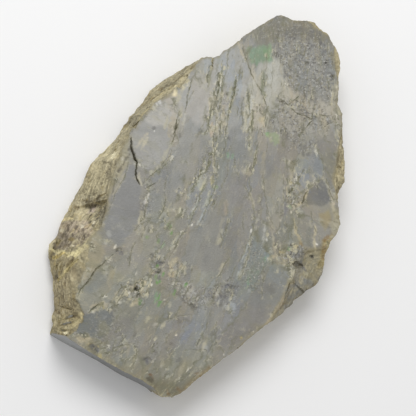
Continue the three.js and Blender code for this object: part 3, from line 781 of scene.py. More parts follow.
bearing = np.degrees(np.arctan2(plan[:, 1], plan[:, 0]))
in_saw_range = smooth(SAWN_START - 0.6, SAWN_START + 0.6, bearing)
in_saw_range *= smooth(-SAWN_END - 1.2, -SAWN_END + 1.2, -bearing)
beyond = smooth(0.0, 0.7, -rim_depth)
# The sawn end is one flat plane, so its points are known by the way they face.
facing = np.empty(len(mesh.vertices) * 3)
mesh.vertices.foreach_get("normal", facing)
towards_saw = facing.reshape(-1, 3) @ np.array(SAW_NORMAL)
sawn = in_saw_range * smooth(0.72, 0.9, towards_saw)
under = (height < UNDER_HEIGHT).astype(float)
# The flank on the right broke off lately, so it is still grey and smooth.
fresh = smooth(20, 24, plan[:, 0]) * smooth(3.2, 1.6, FACE - height) * smooth(12, 2, plan[:, 1])
corner = crust_at(plan)[0] * (height > FACE - CRUST_REACH)
rind = np.maximum(beyond * (1 - 0.5 * fresh), corner) * (1 - sawn) * (1 - under)
print(f"rind {rind.mean():.0%}, sawn end {sawn.mean():.0%}, underside {under.mean():.0%} of points")


def keep(name, values, kind="FLOAT"):
    """Stores one value for each point of the skin as a named attribute."""
    layer = mesh.attributes.new(name, kind, "POINT")
    field = {"FLOAT": "value", "FLOAT_VECTOR": "vector", "FLOAT_COLOR": "color"}[kind]
    layer.data.foreach_set(field, np.asarray(values, np.float32).ravel())


# %% [markdown]
# Streaks need their own coordinates: across and along the grain on the face, and along the
# edge of the slice on the rind, where the layers of the stone crop out side by side.

# %% Keep the coordinates of the streaks
# The rind's streaks are read this far from the face's, in mm, so that the two differ.
RIND_PLANE = 9.0
edge_at = np.interp(bearing % 360, np.degrees(angles), along_wall[:-1], period=360)
face_grain = np.column_stack([across_grain(plan), plan[:, 1], np.zeros(len(plan))])
rind_across = np.hypot(from_rim, FACE - height)
rind_grain = np.column_stack([rind_across, edge_at, np.full(len(plan), RIND_PLANE)])
grain = np.where((rim_depth > -0.1)[:, None] | (under > 0)[:, None], face_grain, rind_grain)
keep("grain", grain, "FLOAT_VECTOR")
keep("rind", rind)
keep("sawn", sawn)
keep("under", under)
keep("rough", roughness_of(plan) * smooth(-0.2, 0.4, rim_depth) * (1 - under))
keep("crumbled", crumbled_share(plan) * smooth(-0.4, 0.2, rim_depth) * (1 - under))
# The hollow share darkens the pits, partly as dirt and partly as painted shade.
keep("hollow", smooth(0.05, 0.9, pit_share(plan)) * (height > FACE - PIT_PART))
print(len(mesh.attributes), "attributes on the skin")

# %% [markdown]
# ## The colours of the stone
# Every crystal of the face took the polish differently: most are grey, some are tan, and
# where clay and iron got into cracks there are cream and rust. A few tilted crystals flash
# green: that flash is a reflection, painted in here as colour. The colours are set down as one
# map: soft patches first, then crystals with firmer edges, then streaks along the grain, then
# single grains. All colours are sRGB hex values, and one function turns them into the linear
# numbers that a renderer works with.


# %% Colour helpers
def linear(code):
    """Linear red, green and blue from an sRGB hex colour."""
    parts = np.array([int(code[i : i + 2], 16) for i in (1, 3, 5)]) / 255
    return np.where(parts <= 0.04045, parts / 12.92, ((parts + 0.055) / 1.055) ** 2.4)


def lay(colours, code, share):
    """Lays a colour over the others with a share for each point."""
    return colours + (linear(code) - colours) * share[:, None]


print("a middle grey of #808080 is", linear("#808080").round(3), "in linear numbers")

# %% Map the patches and crystals of the face
BASE_COLOUR = "#85837c"

# Each patch: colour, strength, softness of its edge in mm, and its outline as x, y, x, y.
FACE_PATCHES = [
    # Broad tones. The pale first one, over the upper left, is partly the stone's tone and partly
    # painted sheen.
    ("#a3a097", 0.9, 5, -14, 38, -8, 43, -3, 44, 3, 36, 5, 24, -3, 17, -15, 12, -24, 14, -23, 20,
     -18, 28),
    ("#65645c", 0.9, 1.6, -5, 47, 3, 58.5, 14, 60.5, 21, 57, 22, 51, 9, 51.5, 4, 49, -1, 49),
    ("#83837e", 0.9, 1.2, 6, 51, 7.5, 45, 10.5, 40.5, 18, 37, 26.5, 41, 26, 50, 20, 55, 12, 54),
    ("#afac9f", 0.9, 1, 2.5, 42.5, 6, 44, 8.5, 45, 10, 40.5, 14, 38, 11, 31, 9, 25, 4, 24, 1, 34),
    ("#a7a293", 0.85, 1, 10, 38, 19, 36.5, 28, 38.5, 31, 33, 26, 31, 17, 34, 10, 34),
    ("#807e78", 0.8, 2, 15, 24.5, 24, 25, 31, 28.5, 33, 16, 24, 16, 16, 20),
    ("#99978e", 0.7, 1.6, 10, 33.5, 25, 33.5, 30, 31, 25, 26, 12, 25),
    ("#7f7d78", 0.8, 3, 1, 20, 8, 17, 15, 17, 20, 8, 16, 1, 8, 2, 3, 7),
    ("#898677", 0.7, 2.5, -13, -5, -6, -6, -5, -20, -10, -24, -16, -22, -16, -13),
    ("#828275", 0.8, 3, -20, -30, -8, -26, 0, -33, -2, -45, -14, -47, -20, -42),
    ("#7e7e78", 0.8, 3, 0, -35, 10, -33, 24, -27, 22, -37, 14, -46, 4, -50, -3, -44),
    ("#7f7d6c", 0.8, 2.5, -12, -53, 0, -50, 8, -45, 15, -46, 10, -56, 3, -61, -12, -58),
    ("#7c7f77", 0.7, 2.5, 14, -5, 24, -6, 28, -14, 27, -24, 18, -28, 12, -20),
    ("#7c7868", 0.75, 0.8, -2.2, 50.1, 4.2, 57.7, 9.1, 58.1, 6, 51.8, 0.8, 46),
    # Crystals of the upper left, with firm edges. Their light greys are partly painted sheen.
    ("#aaa69d", 0.9, 0.4, -24.9, 15.8, -19.8, 23.8, -16.4, 25, -15.3, 20.5, -15.2, 13.5, -19, 14.5,
     -22, 12),
    ("#93918b", 0.9, 0.5, -25, 14.5, -21.5, 13.5, -15.4, 14.5, -15.5, 6, -17, 2, -20.5, 0.5, -22, 2,
     -25.6, 6.6, -26.8, 10.2),
    ("#a29f98", 0.9, 0.6, -14.1, 31.5, -9, 30, -6.5, 20.5, -7.5, 17.5, -13.6, 19),
    ("#8e8c84", 0.9, 0.7, -13.9, 19.5, -7.2, 18.2, -5.4, 10, -6.6, 3, -6.2, -4, -11, -4.6, -12.2, 2,
     -14.2, 9),
    ("#9c9d9a", 0.8, 0.6, -9.8, 39.5, -5.2, 45.4, 0.6, 38.4, -1.4, 34, -5, 33, -8.6, 32),
    ("#9d9e9d", 0.7, 0.7, -6.4, 38.5, -3, 39.5, -1.8, 35.5, -4.6, 33.6),
    ("#9b9990", 0.8, 0.6, -14.2, 37.8, -11.6, 38.6, -10.6, 32, -13.8, 31),
    ("#adaca5", 0.85, 0.4, -1.9, 34, 2.2, 35.4, 1.2, 31, -0.2, 30.4, -1.6, 31),
    ("#92928d", 0.9, 0.35, -1.3, 29.6, 1, 30.2, 2.4, 25, 3.4, 22, 4.4, 15.6, 3.4, 13, -0.4, 17.8,
     -1.2, 23),
    ("#a09e98", 0.85, 0.4, -4.6, 33, -2.6, 32.6, -2.6, 28, -3.2, 25.2, -4.6, 26),
    ("#a19b8e", 0.9, 0.4, 4.6, 30, 7.6, 31.2, 9.2, 24.2, 6.4, 22.6, 5.2, 26),
    # The green patch is a flash of labradorescence, a reflection painted in as colour.
    ("#788f6f", 0.85, 0.6, -2.4, 45.3, 3.8, 48.6, 6, 44, -0.2, 40.4),
    # Crystals of the middle.
    ("#7e7e7c", 1, 0.35, -25, -0.2, -23, 1.6, -21.6, -2.6, -19.4, -4.8, -18.3, -8, -17.1, -14.5,
     -18.2, -19, -20.4, -23.2, -24.3, -21.5, -26.3, -18, -26.4, -12, -26, -7),
    ("#82827e", 0.9, 0.5, 0.4, 20, 3.4, 24, 4.6, 18, 5.2, 12, 1.4, 13, -0.6, 18),
    ("#9a9584", 0.85, 0.35, 5.4, 10.9, 8.2, 10.9, 10.2, 10, 10, 9.2, 8.8, 8.7, 7, 9, 5.6, 9.9),
    ("#767875", 0.9, 0.35, 10.4, 17, 15, 16.5, 16, 10, 11, 9.5),
    ("#85837b", 0.8, 0.6, 5.6, 17.4, 8.8, 18.4, 9.4, 11.6, 5.6, 12),
    ("#83827b", 0.9, 0.7, 2.6, 1.5, 6.3, -4.5, 6.6, -11, 9.4, -16, 9.6, -23, 5, -26, -0.8, -24.5,
     -3, -18, -0.4, -9, 1.2, -4),
    ("#82807b", 0.9, 0.8, 10.5, 3.5, 14.5, 1, 16.5, -3, 14.6, -8, 13.8, -18, 10.5, -17, 8.3, -9, 8, -2),
    ("#aaa89b", 0.9, 0.35, -4.6, 5, -2.3, 4.2, -2.4, 1.8, -2.5, 0.2, -3.4, -0.6, -4.3, 0.9, -4.6, 3),
    ("#a09a8c", 0.9, 0.35, 17.4, -1.1, 20.9, 1.7, 22.3, -1.4, 22.1, -4.1, 20.8, -5, 18.6, -2.7),
    ("#938e82", 0.8, 0.4, 17.2, 0.6, 21.2, 0.8, 22.3, -3.2, 21.4, -4.6, 19.4, -3.2),
    ("#7f7f73", 0.8, 0.35, -3.2, 16.6, 0.1, 17.7, 3, 5, 0.9, 3),
    ("#7a7a74", 0.8, 0.35, 1.2, 18.1, 7.3, 18.4, 8.1, 11.8, 3.9, 5.3),
    # Crystals of the right side.
    ("#7c7c76", 0.85, 0.4, 25.6, 22.4, 29.8, 23.6, 30.4, 17.6, 26.8, 15.6),
    ("#898479", 0.8, 0.5, 16.4, 13.8, 19.8, 14, 19.4, 8.6, 16.4, 9),
    ("#676765", 1, 0.25, 29.6, 15.4, 31.5, 14, 33.8, 11.9, 34.3, 9.6, 32.7, 7.6, 27.8, 5.9, 26.4, 7.2,
     27.4, 11),
    ("#8e8568", 0.95, 0.4, 31.7, 4.9, 34.2, 6.8, 35.6, 4, 34.5, 0.5, 32.9, 2.7),
    ("#817e72", 0.9, 0.35, 25.2, 2.6, 28.2, 3.8, 30.3, 0.6, 29.4, -4.6, 27.2, -2.2),
    ("#79796f", 0.9, 0.35, 30.6, 0.8, 32.2, -3, 33.4, -6, 30.6, -4.8, 29.8, -2),
    ("#706f67", 0.9, 0.4, 30.5, 22, 33, 21, 33.3, 15, 31.4, 16),
    ("#939289", 0.8, 0.4, 22, 11, 24.2, 10.6, 24.2, 6.4, 22.2, 6),
    ("#85867f", 0.85, 0.4, 25.6, 20, 29.8, 20.8, 28.8, 15.4, 25.2, 15.8),
    ("#898579", 0.85, 0.4, 16.6, 13.6, 19.6, 9.6, 17.2, 4.6, 13.6, 6.6, 14.4, 11),
    ("#7b7b7c", 0.85, 0.35, 20.6, 5.4, 22.4, 6, 23.2, 1.4, 22.6, -3.8, 21.4, -0.6),
    ("#8b8878", 0.8, 0.4, 24.2, 24.6, 21, 19.4, 22.6, 15, 25, 18.6),
    ("#7d7c74", 0.8, 0.4, 22.4, -4.4, 25.4, -5, 25.8, -7.2, 22.2, -10.4, 21, -7.4),
    ("#7f7f7c", 0.8, 0.3, 22.9, 20.7, 27.4, 21.2, 30.2, 15.4, 26.9, 12.6, 23.8, 14.2),
    ("#77766e", 0.85, 0.3, 27.8, 21.9, 31.8, 23.8, 34.3, 16.3, 33.4, 13.3, 30.5, 16),
    ("#81807c", 0.8, 0.3, 9.6, 15.4, 16.9, 18.5, 18.9, 13.5, 15.4, 9.7, 10.8, 9.6),
    ("#8d8b80", 0.8, 0.35, 13.6, 9, 17.8, 0.1, 21.8, -4.7, 22.2, 0.6, 18.7, 12.4, 15.7, 12.3),
    ("#7e8079", 0.8, 0.35, 22, 0.5, 24.6, 3, 26.6, -0.5, 30.9, -4.7, 28.7, -7.5, 24.4, -6.9,
     21.6, -5.8),
    ("#797875", 0.85, 0.5, 5.5, 8.6, 13.6, 8.6, 15.4, 1.4, 8, 1),
    ("#83817d", 0.7, 0.4, 4.6, 4.8, 9.1, 5.3, 13.8, -0.3, 6.5, -1.3),
    ("#807f7a", 0.7, 0.4, 6.6, -4.8, 11.6, -3.1, 15.7, -9.9, 16.4, -18.9, 9, -16.3),
    ("#7f837c", 0.7, 0.4, 16.2, -9.7, 22.2, -9.7, 24.8, -15, 17.7, -18.4),
    ("#80817c", 0.8, 0.4, 21.7, -18.1, 26.7, -14.3, 30, -20.3, 26.9, -25.4, 23.2, -24.7),
    ("#7d7c76", 0.8, 0.4, 1.7, -15.3, 8, -8.2, 13.3, -13.7, 11.3, -23, 6.9, -24.4),
    ("#848780", 0.7, 0.4, 2, -23, 10.2, -20.9, 10.4, -25.8, 6.5, -27.2, 1, -27.8),
    # Crystals of the lower part.
    ("#7b7b71", 0.7, 0.6, -26.2, -29.7, -20, -22.7, -16.1, -23.8, -21.9, -35.5, -26.3, -42),
    ("#8a8a83", 0.7, 0.4, -24.2, -36.4, -22.5, -32, -18.4, -29.4, -18.3, -35.6, -22.8, -40.9,
     -26, -42.6),
    ("#828280", 0.85, 0.35, -1.7, -39.1, 4.6, -35.4, 10.3, -37.8, 8.9, -43.3, 3.5, -43.9, 0.5, -42.4),
    ("#87877c", 0.8, 0.35, 6.4, -45.4, 12.1, -43.5, 15.1, -47.5, 8.9, -49.5),
    ("#7f7e7a", 0.85, 0.35, 12.6, -34.9, 22.5, -30.6, 22, -35.2, 17.3, -42.4, 13.9, -40.4),
    ("#828379", 0.8, 0.35, -13.1, -51.3, -7.6, -48.2, -5.1, -53, -7.2, -55.2, -12.3, -54.7),
    ("#737370", 0.85, 0.6, 7.4, -26.4, 10, -27, 12.6, -23.6, 15.4, -21.8, 16.4, -24, 14.4, -29,
     10.4, -29.8, 8, -28.4),
    ("#86867a", 0.9, 0.6, -24.2, -32, -21, -29.4, -18.6, -31, -17.6, -37, -19.4, -40.4, -22.1, -43.4,
     -26.4, -46, -27.3, -42, -26.3, -36.5),
    ("#787b76", 0.8, 0.8, -24, -32.5, -21.4, -30.6, -20.4, -34, -23.4, -38.6, -25.4, -38),
    ("#696c69", 1, 0.35, -20.2, -41.2, -16.2, -41.6, -14.2, -46, -17, -50, -22, -51.6, -25.8, -49.6,
     -24.8, -46.4, -22.3, -43.9),
    ("#908b76", 0.9, 0.8, -28.4, -21.5, -25.2, -22.4, -23.2, -26, -24.6, -32.6, -27, -38, -29.8, -36,
     -29.8, -29),
    ("#7c7a68", 0.8, 0.6, -28.8, -38.5, -26.6, -38.5, -25.4, -45, -28.6, -43.6),
    ("#7e7f82", 0.6, 0.4, 1.4, -38.4, 4, -37, 6.6, -38, 7, -42, 4, -46, 2, -45),
    ("#7e7c78", 0.9, 0.5, 16, -26.5, 24.8, -26, 25.4, -31, 20.6, -38, 15, -42, 12.4, -37),
    ("#797a79", 0.6, 1.6, 19, -20, 25, -19.6, 24.6, -27, 17.6, -28),
    ("#817f78", 0.8, 0.8, -14.6, -42.6, -10.6, -41.6, -8.2, -50.6, -12, -53, -15, -48),
    ("#787662", 0.8, 0.6, -19, -45, -15.4, -45.4, -15.6, -49, -18.8, -50),
    ("#7a7b74", 0.8, 1, -8, -31.5, -2, -33, -2.6, -44, -10, -42.6),
    ("#66676e", 0.4, 1.2, 29, -8, 31.5, -6.8, 33, -9, 33.2, -12, 30.4, -12.8, 29, -10.6),
    # Stained margins.
    ("#979178", 0.9, 0.7, -29.5, 10, -26.2, 6, -25, 0.4, -26.4, -6, -26.9, -10.4, -28.4, -10, -28.2, 0,
     -29.6, 5),
    ("#857e66", 0.9, 1, 30.4, -5.5, 34, -5.4, 37, -3, 39, -10, 36.8, -16.4, 32.4, -13.6, 31, -10),
    ("#8f8a78", 0.7, 1.2, 23.4, -7.6, 28.4, -5, 29.4, -10, 28.6, -14.6, 24.6, -13.6),
    ("#757570", 0.9, 0.6, 30.2, -15.6, 34.6, -14, 37, -16, 34.8, -20, 31, -26.6, 29, -27.6, 30, -20),
    ("#918355", 0.9, 0.6, 35, -2.4, 36.4, 0.4, 38.6, -1, 38.8, -9, 36.9, -10),
    ("#a4a08c", 0.9, 0.6, 34.8, 8, 36, 6.2, 35.4, 2.4, 37, 0.2, 39.2, 2, 38, 8),
    ("#8e8773", 0.85, 0.5, 30.8, 33, 31.2, 28, 32.6, 20, 33.6, 14.5, 36.8, 14, 36.6, 22, 33, 31),
    ("#9a947e", 0.8, 0.8, 25, 41, 26.4, 47, 29, 44, 29.4, 37, 27.6, 37),
    ("#98917a", 0.85, 0.5, 23.2, 54, 23.8, 50, 25.4, 46, 27.4, 49, 25.6, 54),
    ("#858069", 0.8, 0.7, -23, -51.4, -16, -50.6, -12.4, -53.6, -8, -57.8, -20, -55),
    ("#746f57", 0.85, 0.8, -3, -56.6, 3, -55, 7, -53.4, 12, -51.6, 12.5, -53, 8.6, -58.2, 3, -60.5),
    ("#776745", 0.7, 0.6, 11.4, -51.8, 13.8, -47.8, 15, -48.6, 12.2, -53, 8.8, -57.6, 8, -57),
]

# Layers that crop out as streaks: colour, half width in mm, strength, and the course.
FACE_STREAKS = [
    # Pale layers beside the cracks of the upper part.
    ("#b9b29a", 0.6, 0.9, 1.6, 31.4, 2.3, 28.6, 3.1, 25.6),
    ("#b6af97", 0.55, 0.9, 3.2, 25.2, 3.9, 22, 4.1, 20.6),
    ("#bdb37f", 0.3, 0.8, 2.3, 32.2, 2.7, 30.4),
    ("#b3ac97", 0.5, 0.8, 8, 28.6, 8.7, 25.8, 9.2, 24.2),
    ("#b7ae96", 1.3, 0.85, -8, 29, -7.2, 26.4, -6.2, 24.6),
    ("#b8b098", 0.7, 0.9, -3.9, 26.4, -3, 23.6, -1.8, 21, -1.5, 19),
    ("#b7ae93", 0.5, 0.9, -5.2, 24.6, -4.4, 22, -3.4, 19, -3.1, 17.2),
    ("#c0ab8d", 0.45, 0.9, -5.4, 20.2, -5.1, 18.4, -4.4, 16),
    ("#a9a78d", 0.35, 0.8, -3.2, 32.4, -3.1, 30, -3.4, 27.4),
    ("#b0a78b", 0.45, 0.9, -3.5, 14.2, -2.2, 11, -1.3, 8.4, -0.7, 6.4),
    ("#b7a97a", 0.55, 0.9, -0.6, 5.4, -0.3, 2.9),
    ("#c4bd9a", 0.35, 0.9, -2.4, 3.6, -2.7, 1.2, -3, -0.2),
    ("#a9a894", 0.5, 0.8, -4.3, 3.4, -4, 0.6),
    ("#b5ad92", 0.6, 0.8, -17.6, 21, -16.8, 25.4, -16.4, 29.6),
    ("#b6ad96", 0.5, 0.8, -24.3, 5.6, -23.2, 8.4, -22, 11),
    ("#bbb39c", 0.45, 0.9, -22.7, 5.4, -22.1, 7.6, -21.6, 9.8),
    ("#b1aa94", 0.4, 0.8, -18.6, 18.6, -18, 16, -18.2, 13.4),
    ("#aea993", 0.5, 0.7, -15.4, 22, -14.7, 18.6),
    ("#b3b0a4", 0.35, 0.8, -14, 20.6, -13.4, 17.4, -13.2, 14.4),
    ("#a8a38f", 0.45, 0.8, -15.2, 10, -15.6, 5, -16.6, 2, -17.4, -0.6),
    ("#b0ab97", 0.4, 0.9, -21.3, -0.6, -20.4, -2.6, -19.2, -4.2),
    ("#a49e8b", 0.45, 0.8, -25, -2.4, -25.4, -5.6, -26.3, -9.6),
    ("#b6ac92", 0.4, 0.8, -5.2, 45.6, -3.4, 43.2, -1.8, 41.4),
    ("#b1a994", 0.5, 0.7, 0.7, 41, 1.2, 38.6, 2.8, 36.4),
    ("#a8a390", 0.5, 0.7, 9.4, 45.4, 9, 43, 9.8, 40.8),
    # Pale layers of the middle.
    ("#a19c86", 0.45, 0.8, -9.9, -6, -10.2, -8, -11.6, -12),
    ("#a5a58a", 0.5, 0.9, -6.8, -6.6, -6.6, -8.8),
    ("#a3a090", 0.35, 0.8, -5.4, 0.6, -5.6, -1.8, -6.4, -4.2),
    ("#a9a99c", 0.35, 0.9, -2.8, -2.4, -2.8, -4.6, -3, -6.8, -3.2, -8.8),
    ("#a6a79f", 0.3, 0.9, 0.2, -4.8, -0.2, -7.4, -0.9, -10.4),
    ("#a9a690", 0.5, 0.8, 0.2, -1.2, -0.1, -3.2, -0.6, -4.4),
    ("#a0a192", 0.4, 0.9, -5, -14.4, -5.4, -16.6, -6.2, -19.4),
    ("#9a9786", 0.45, 0.8, -16.3, -13.8, -14.6, -17, -14.2, -19.4),
    ("#a8a698", 0.45, 0.9, -17.2, -13.6, -17, -15.8),
    ("#a09685", 0.8, 0.75, 4.9, -0.7, 5.6, -2.6, 6.2, -4.6),
    ("#9b9787", 0.45, 0.7, 5.6, -5.6, 5.9, -9.4, 6.1, -13.6),
    ("#9f9c8b", 0.45, 0.85, 10.4, 4.8, 11.6, 3, 12.6, 1.9, 13.2, 0.2),
    ("#b3b4aa", 0.2, 0.95, 15.2, -6.6, 15, -10, 14.5, -14.8, 14.8, -17.6, 14.3, -20.4),
    ("#9f9d8e", 0.4, 0.8, 9.8, -17.8, 9.4, -20, 9.2, -22.4),
    ("#adaca2", 0.3, 0.9, 17.4, -2.4, 18.2, -5.6, 18.9, -8.8),
    ("#8f8a78", 0.7, 0.7, 11.4, 16.8, 12.4, 13, 13.4, 9.4),
    # Pale layers of the right side.
    ("#9c967f", 0.9, 0.8, 20.6, 15, 21.8, 11.6, 22.8, 9.2),
    ("#aea68d", 0.5, 0.9, 20.9, 12.4, 21.2, 9.4, 21.5, 7.2, 22.1, 5.6),
    ("#b3ab90", 0.7, 0.9, 22, 5.4, 23.6, 4.8, 25.2, 5.2, 26, 6.8),
    ("#a7a089", 0.4, 0.8, 23, 10.4, 24.4, 9.8, 25.4, 8.6),
    ("#a89f82", 0.4, 0.95, 25.4, 1, 27, -2.4, 29.2, -4.8),
    ("#b0a88e", 0.4, 0.95, 31.6, 1.6, 33, -3, 34.2, -6.2),
    ("#a8a390", 0.35, 0.9, 20.6, -5, 22.4, -8.8, 24.6, -12.6),
    ("#b6af9c", 0.45, 0.9, 31.2, 15, 33.2, 12, 35, 9.6, 35.9, 7),
    ("#b7ad92", 0.4, 0.8, 27.6, 12.2, 26.6, 9.8, 26.4, 7.4),
    ("#aea289", 0.45, 0.9, 28.9, -20.4, 28.9, -22.5, 28.2, -26, 27.4, -28.6, 26, -31),
    ("#a0987f", 0.4, 0.8, 29.4, -14.6, 29.2, -17.4, 28.8, -19.8),
    # Pale layers of the lower part.
    ("#979380", 0.6, 0.8, -19.2, -29.6, -20.2, -33.4, -19.4, -35.8),
    ("#a39c85", 0.4, 0.9, -16.4, -34.8, -17.4, -38.8),
    ("#a09983", 0.35, 0.9, -15, -35.6, -16.2, -39.6),
    ("#b0a78d", 0.55, 0.9, -22.6, -42.2, -20.6, -40.8, -18.6, -40.4, -17, -39.2),
    ("#a29d86", 0.35, 0.8, -7.6, -48.6, -6.4, -51, -6.8, -53.6),
    ("#9d9782", 0.5, 0.6, -11.5, -47, -9, -50, -8.6, -53),
    ("#9d9985", 0.5, 0.8, -11.2, -46.6, -12.6, -48.8, -13, -51.2),
    ("#a8a188", 0.5, 0.8, -25.6, -30.6, -26.8, -34, -27.8, -36.6),
    ("#9f987f", 0.5, 0.7, -21.8, -49.8, -20.4, -51.4, -18.4, -52.2),
    ("#989480", 0.45, 0.7, 11.3, -39.4, 11.4, -41.6, 11, -44),
    ("#9a9683", 0.4, 0.7, 7.4, -47, 7, -50, 7.4, -53),
    # Dark olive layers, and a painted shadow along the lower right rim.
    ("#544e3c", 0.3, 0.85, -25.2, 3.6, -26.2, 0.8, -27.2, -2.9, -27.1, -5.4, -26.5, -9.2),
    ("#6f6f52", 0.4, 0.85, -10.9, 39.6, -10.8, 37.1, -10.1, 32.4, -9.3, 29.1),
    ("#6b6c4c", 0.45, 0.9, -7.6, 37.2, -7.1, 33.5, -6.7, 30, -6.1, 28.4),
    ("#6f6e50", 0.35, 0.85, -6.3, 34.8, -5.8, 31, -5.2, 28.9, -4.9, 26.2, -4.7, 24.2),
    ("#666a4a", 0.45, 0.95, -2.9, 35.6, -2.2, 32.5, -1.9, 30.5, -1.9, 27.3, -1.8, 24.3, -1.4, 22.2),
    ("#74745a", 0.3, 0.8, 1.4, 34, 2.4, 30.9, 3.7, 27.6),
    ("#6e6f52", 0.4, 0.9, 4.7, 28, 5.4, 25.3, 5.5, 22.8, 5.2, 21),
    ("#73726a", 0.3, 0.8, 5.9, 20.2, 6.3, 17.2),
    ("#74785a", 0.5, 0.85, 4.1, 40.4, 5.2, 37.2, 5.7, 34.6, 6.9, 33.2),
    ("#7f8070", 0.35, 0.7, -1.6, 38.2, -1, 36),
    ("#74745e", 0.35, 0.7, -8.8, 24, -8, 20, -7.6, 17.6),
    ("#75765c", 0.4, 0.8, -6.7, 23.2, -6.4, 21, -6.6, 18.8),
    ("#6e6f52", 0.35, 0.9, -3, 10.4, -3, 7.8, -3.5, 5.8, -4.4, 5.2),
    ("#6e6f52", 0.35, 0.9, -4.6, 3.8, -4.8, 1.2, -5.3, -1),
    ("#6f7058", 0.35, 0.85, -2.1, 2, -2.3, 0.2, -2.6, -1.4),
    ("#73725c", 0.3, 0.8, -3.2, 14.2, -2.4, 11.8, -1.8, 9.8),
    ("#70705c", 0.35, 0.8, 0.7, 0.2, 0.6, -1.4, 0.7, -3),
    ("#6f6d69", 0.35, 0.85, 2.2, -0.2, 2, -2.2, 1.6, -3.8),
    ("#6f7058", 0.35, 0.9, 8.9, 18.6, 9.3, 16, 9.6, 13.4, 9.8, 10.8),
    ("#75746c", 0.3, 0.8, 7.2, -5, 7.3, -8.4),
    ("#73735f", 0.4, 0.6, 15.8, 36.8, 16.4, 34),
    ("#74735f", 0.35, 0.6, 0.8, 13.6, 1, 10.2),
    # Painted shadow under the overhanging edge of the lower right rim.
    ("#5a564b", 0.35, 0.8, 37.9, -10.2, 38.1, -11.7, 36.2, -15.7, 34.1, -18.9, 32.7, -20.9, 31.5, -23.9,
     29.9, -25.2),
    ("#67655c", 0.5, 0.75, -2.6, -29.6, 1.6, -31.6, 5.2, -33),
    ("#6d6b60", 0.35, 0.8, -22.4, -43.6, -20.9, -41.4),
    ("#6b6a60", 0.3, 0.7, 1.4, -39.4, 3.2, -37.6, 5.2, -36.8),
    ("#757262", 0.35, 0.7, 18, 16.6, 21.4, 16.8, 22.4, 19),
    ("#6c6a5c", 0.35, 0.8, 21.2, 17.8, 20.8, 16),
    ("#716f66", 0.3, 0.8, 24, 16.6, 23.6, 14.4),
    ("#74726a", 0.35, 0.8, 28.2, 13.4, 29.6, 15, 30.2, 16.2),
    ("#5b5140", 0.3, 0.9, 30.2, -19.4, 29.9, -21.4, 29.2, -24.6, 28.2, -27.4),
    ("#6d6859", 0.3, 0.8, 29.8, -15, 30.9, -17.4, 30.4, -19.4),
    ("#65604c", 0.35, 0.9, -24.4, -31.4, -24.9, -33.6, -25.7, -36, -26.6, -38),
    ("#6f6c60", 0.35, 0.8, -15, -35.8, -15.6, -38.2, -16.6, -40.6),
    ("#6c6b61", 0.3, 0.8, -6.2, -52.6, -6.6, -54.6),
    ("#6a695e", 0.35, 0.7, -12.6, -50.4, -13.2, -52.6),
    ("#6f6e62", 0.3, 0.7, -16.2, -20.6, -16.6, -23.2, -16.2, -25.8),
    ("#6d6c66", 0.4, 0.8, -17, -8.6, -17, -11, -16.6, -13.6),
    ("#6f6e5d", 0.35, 0.7, -11.8, -6.2, -11.4, -8.6, -11.9, -11),
    ("#74736a", 0.3, 0.7, 15.8, -8.4, 16, -12.6, 15.8, -17.4),
]

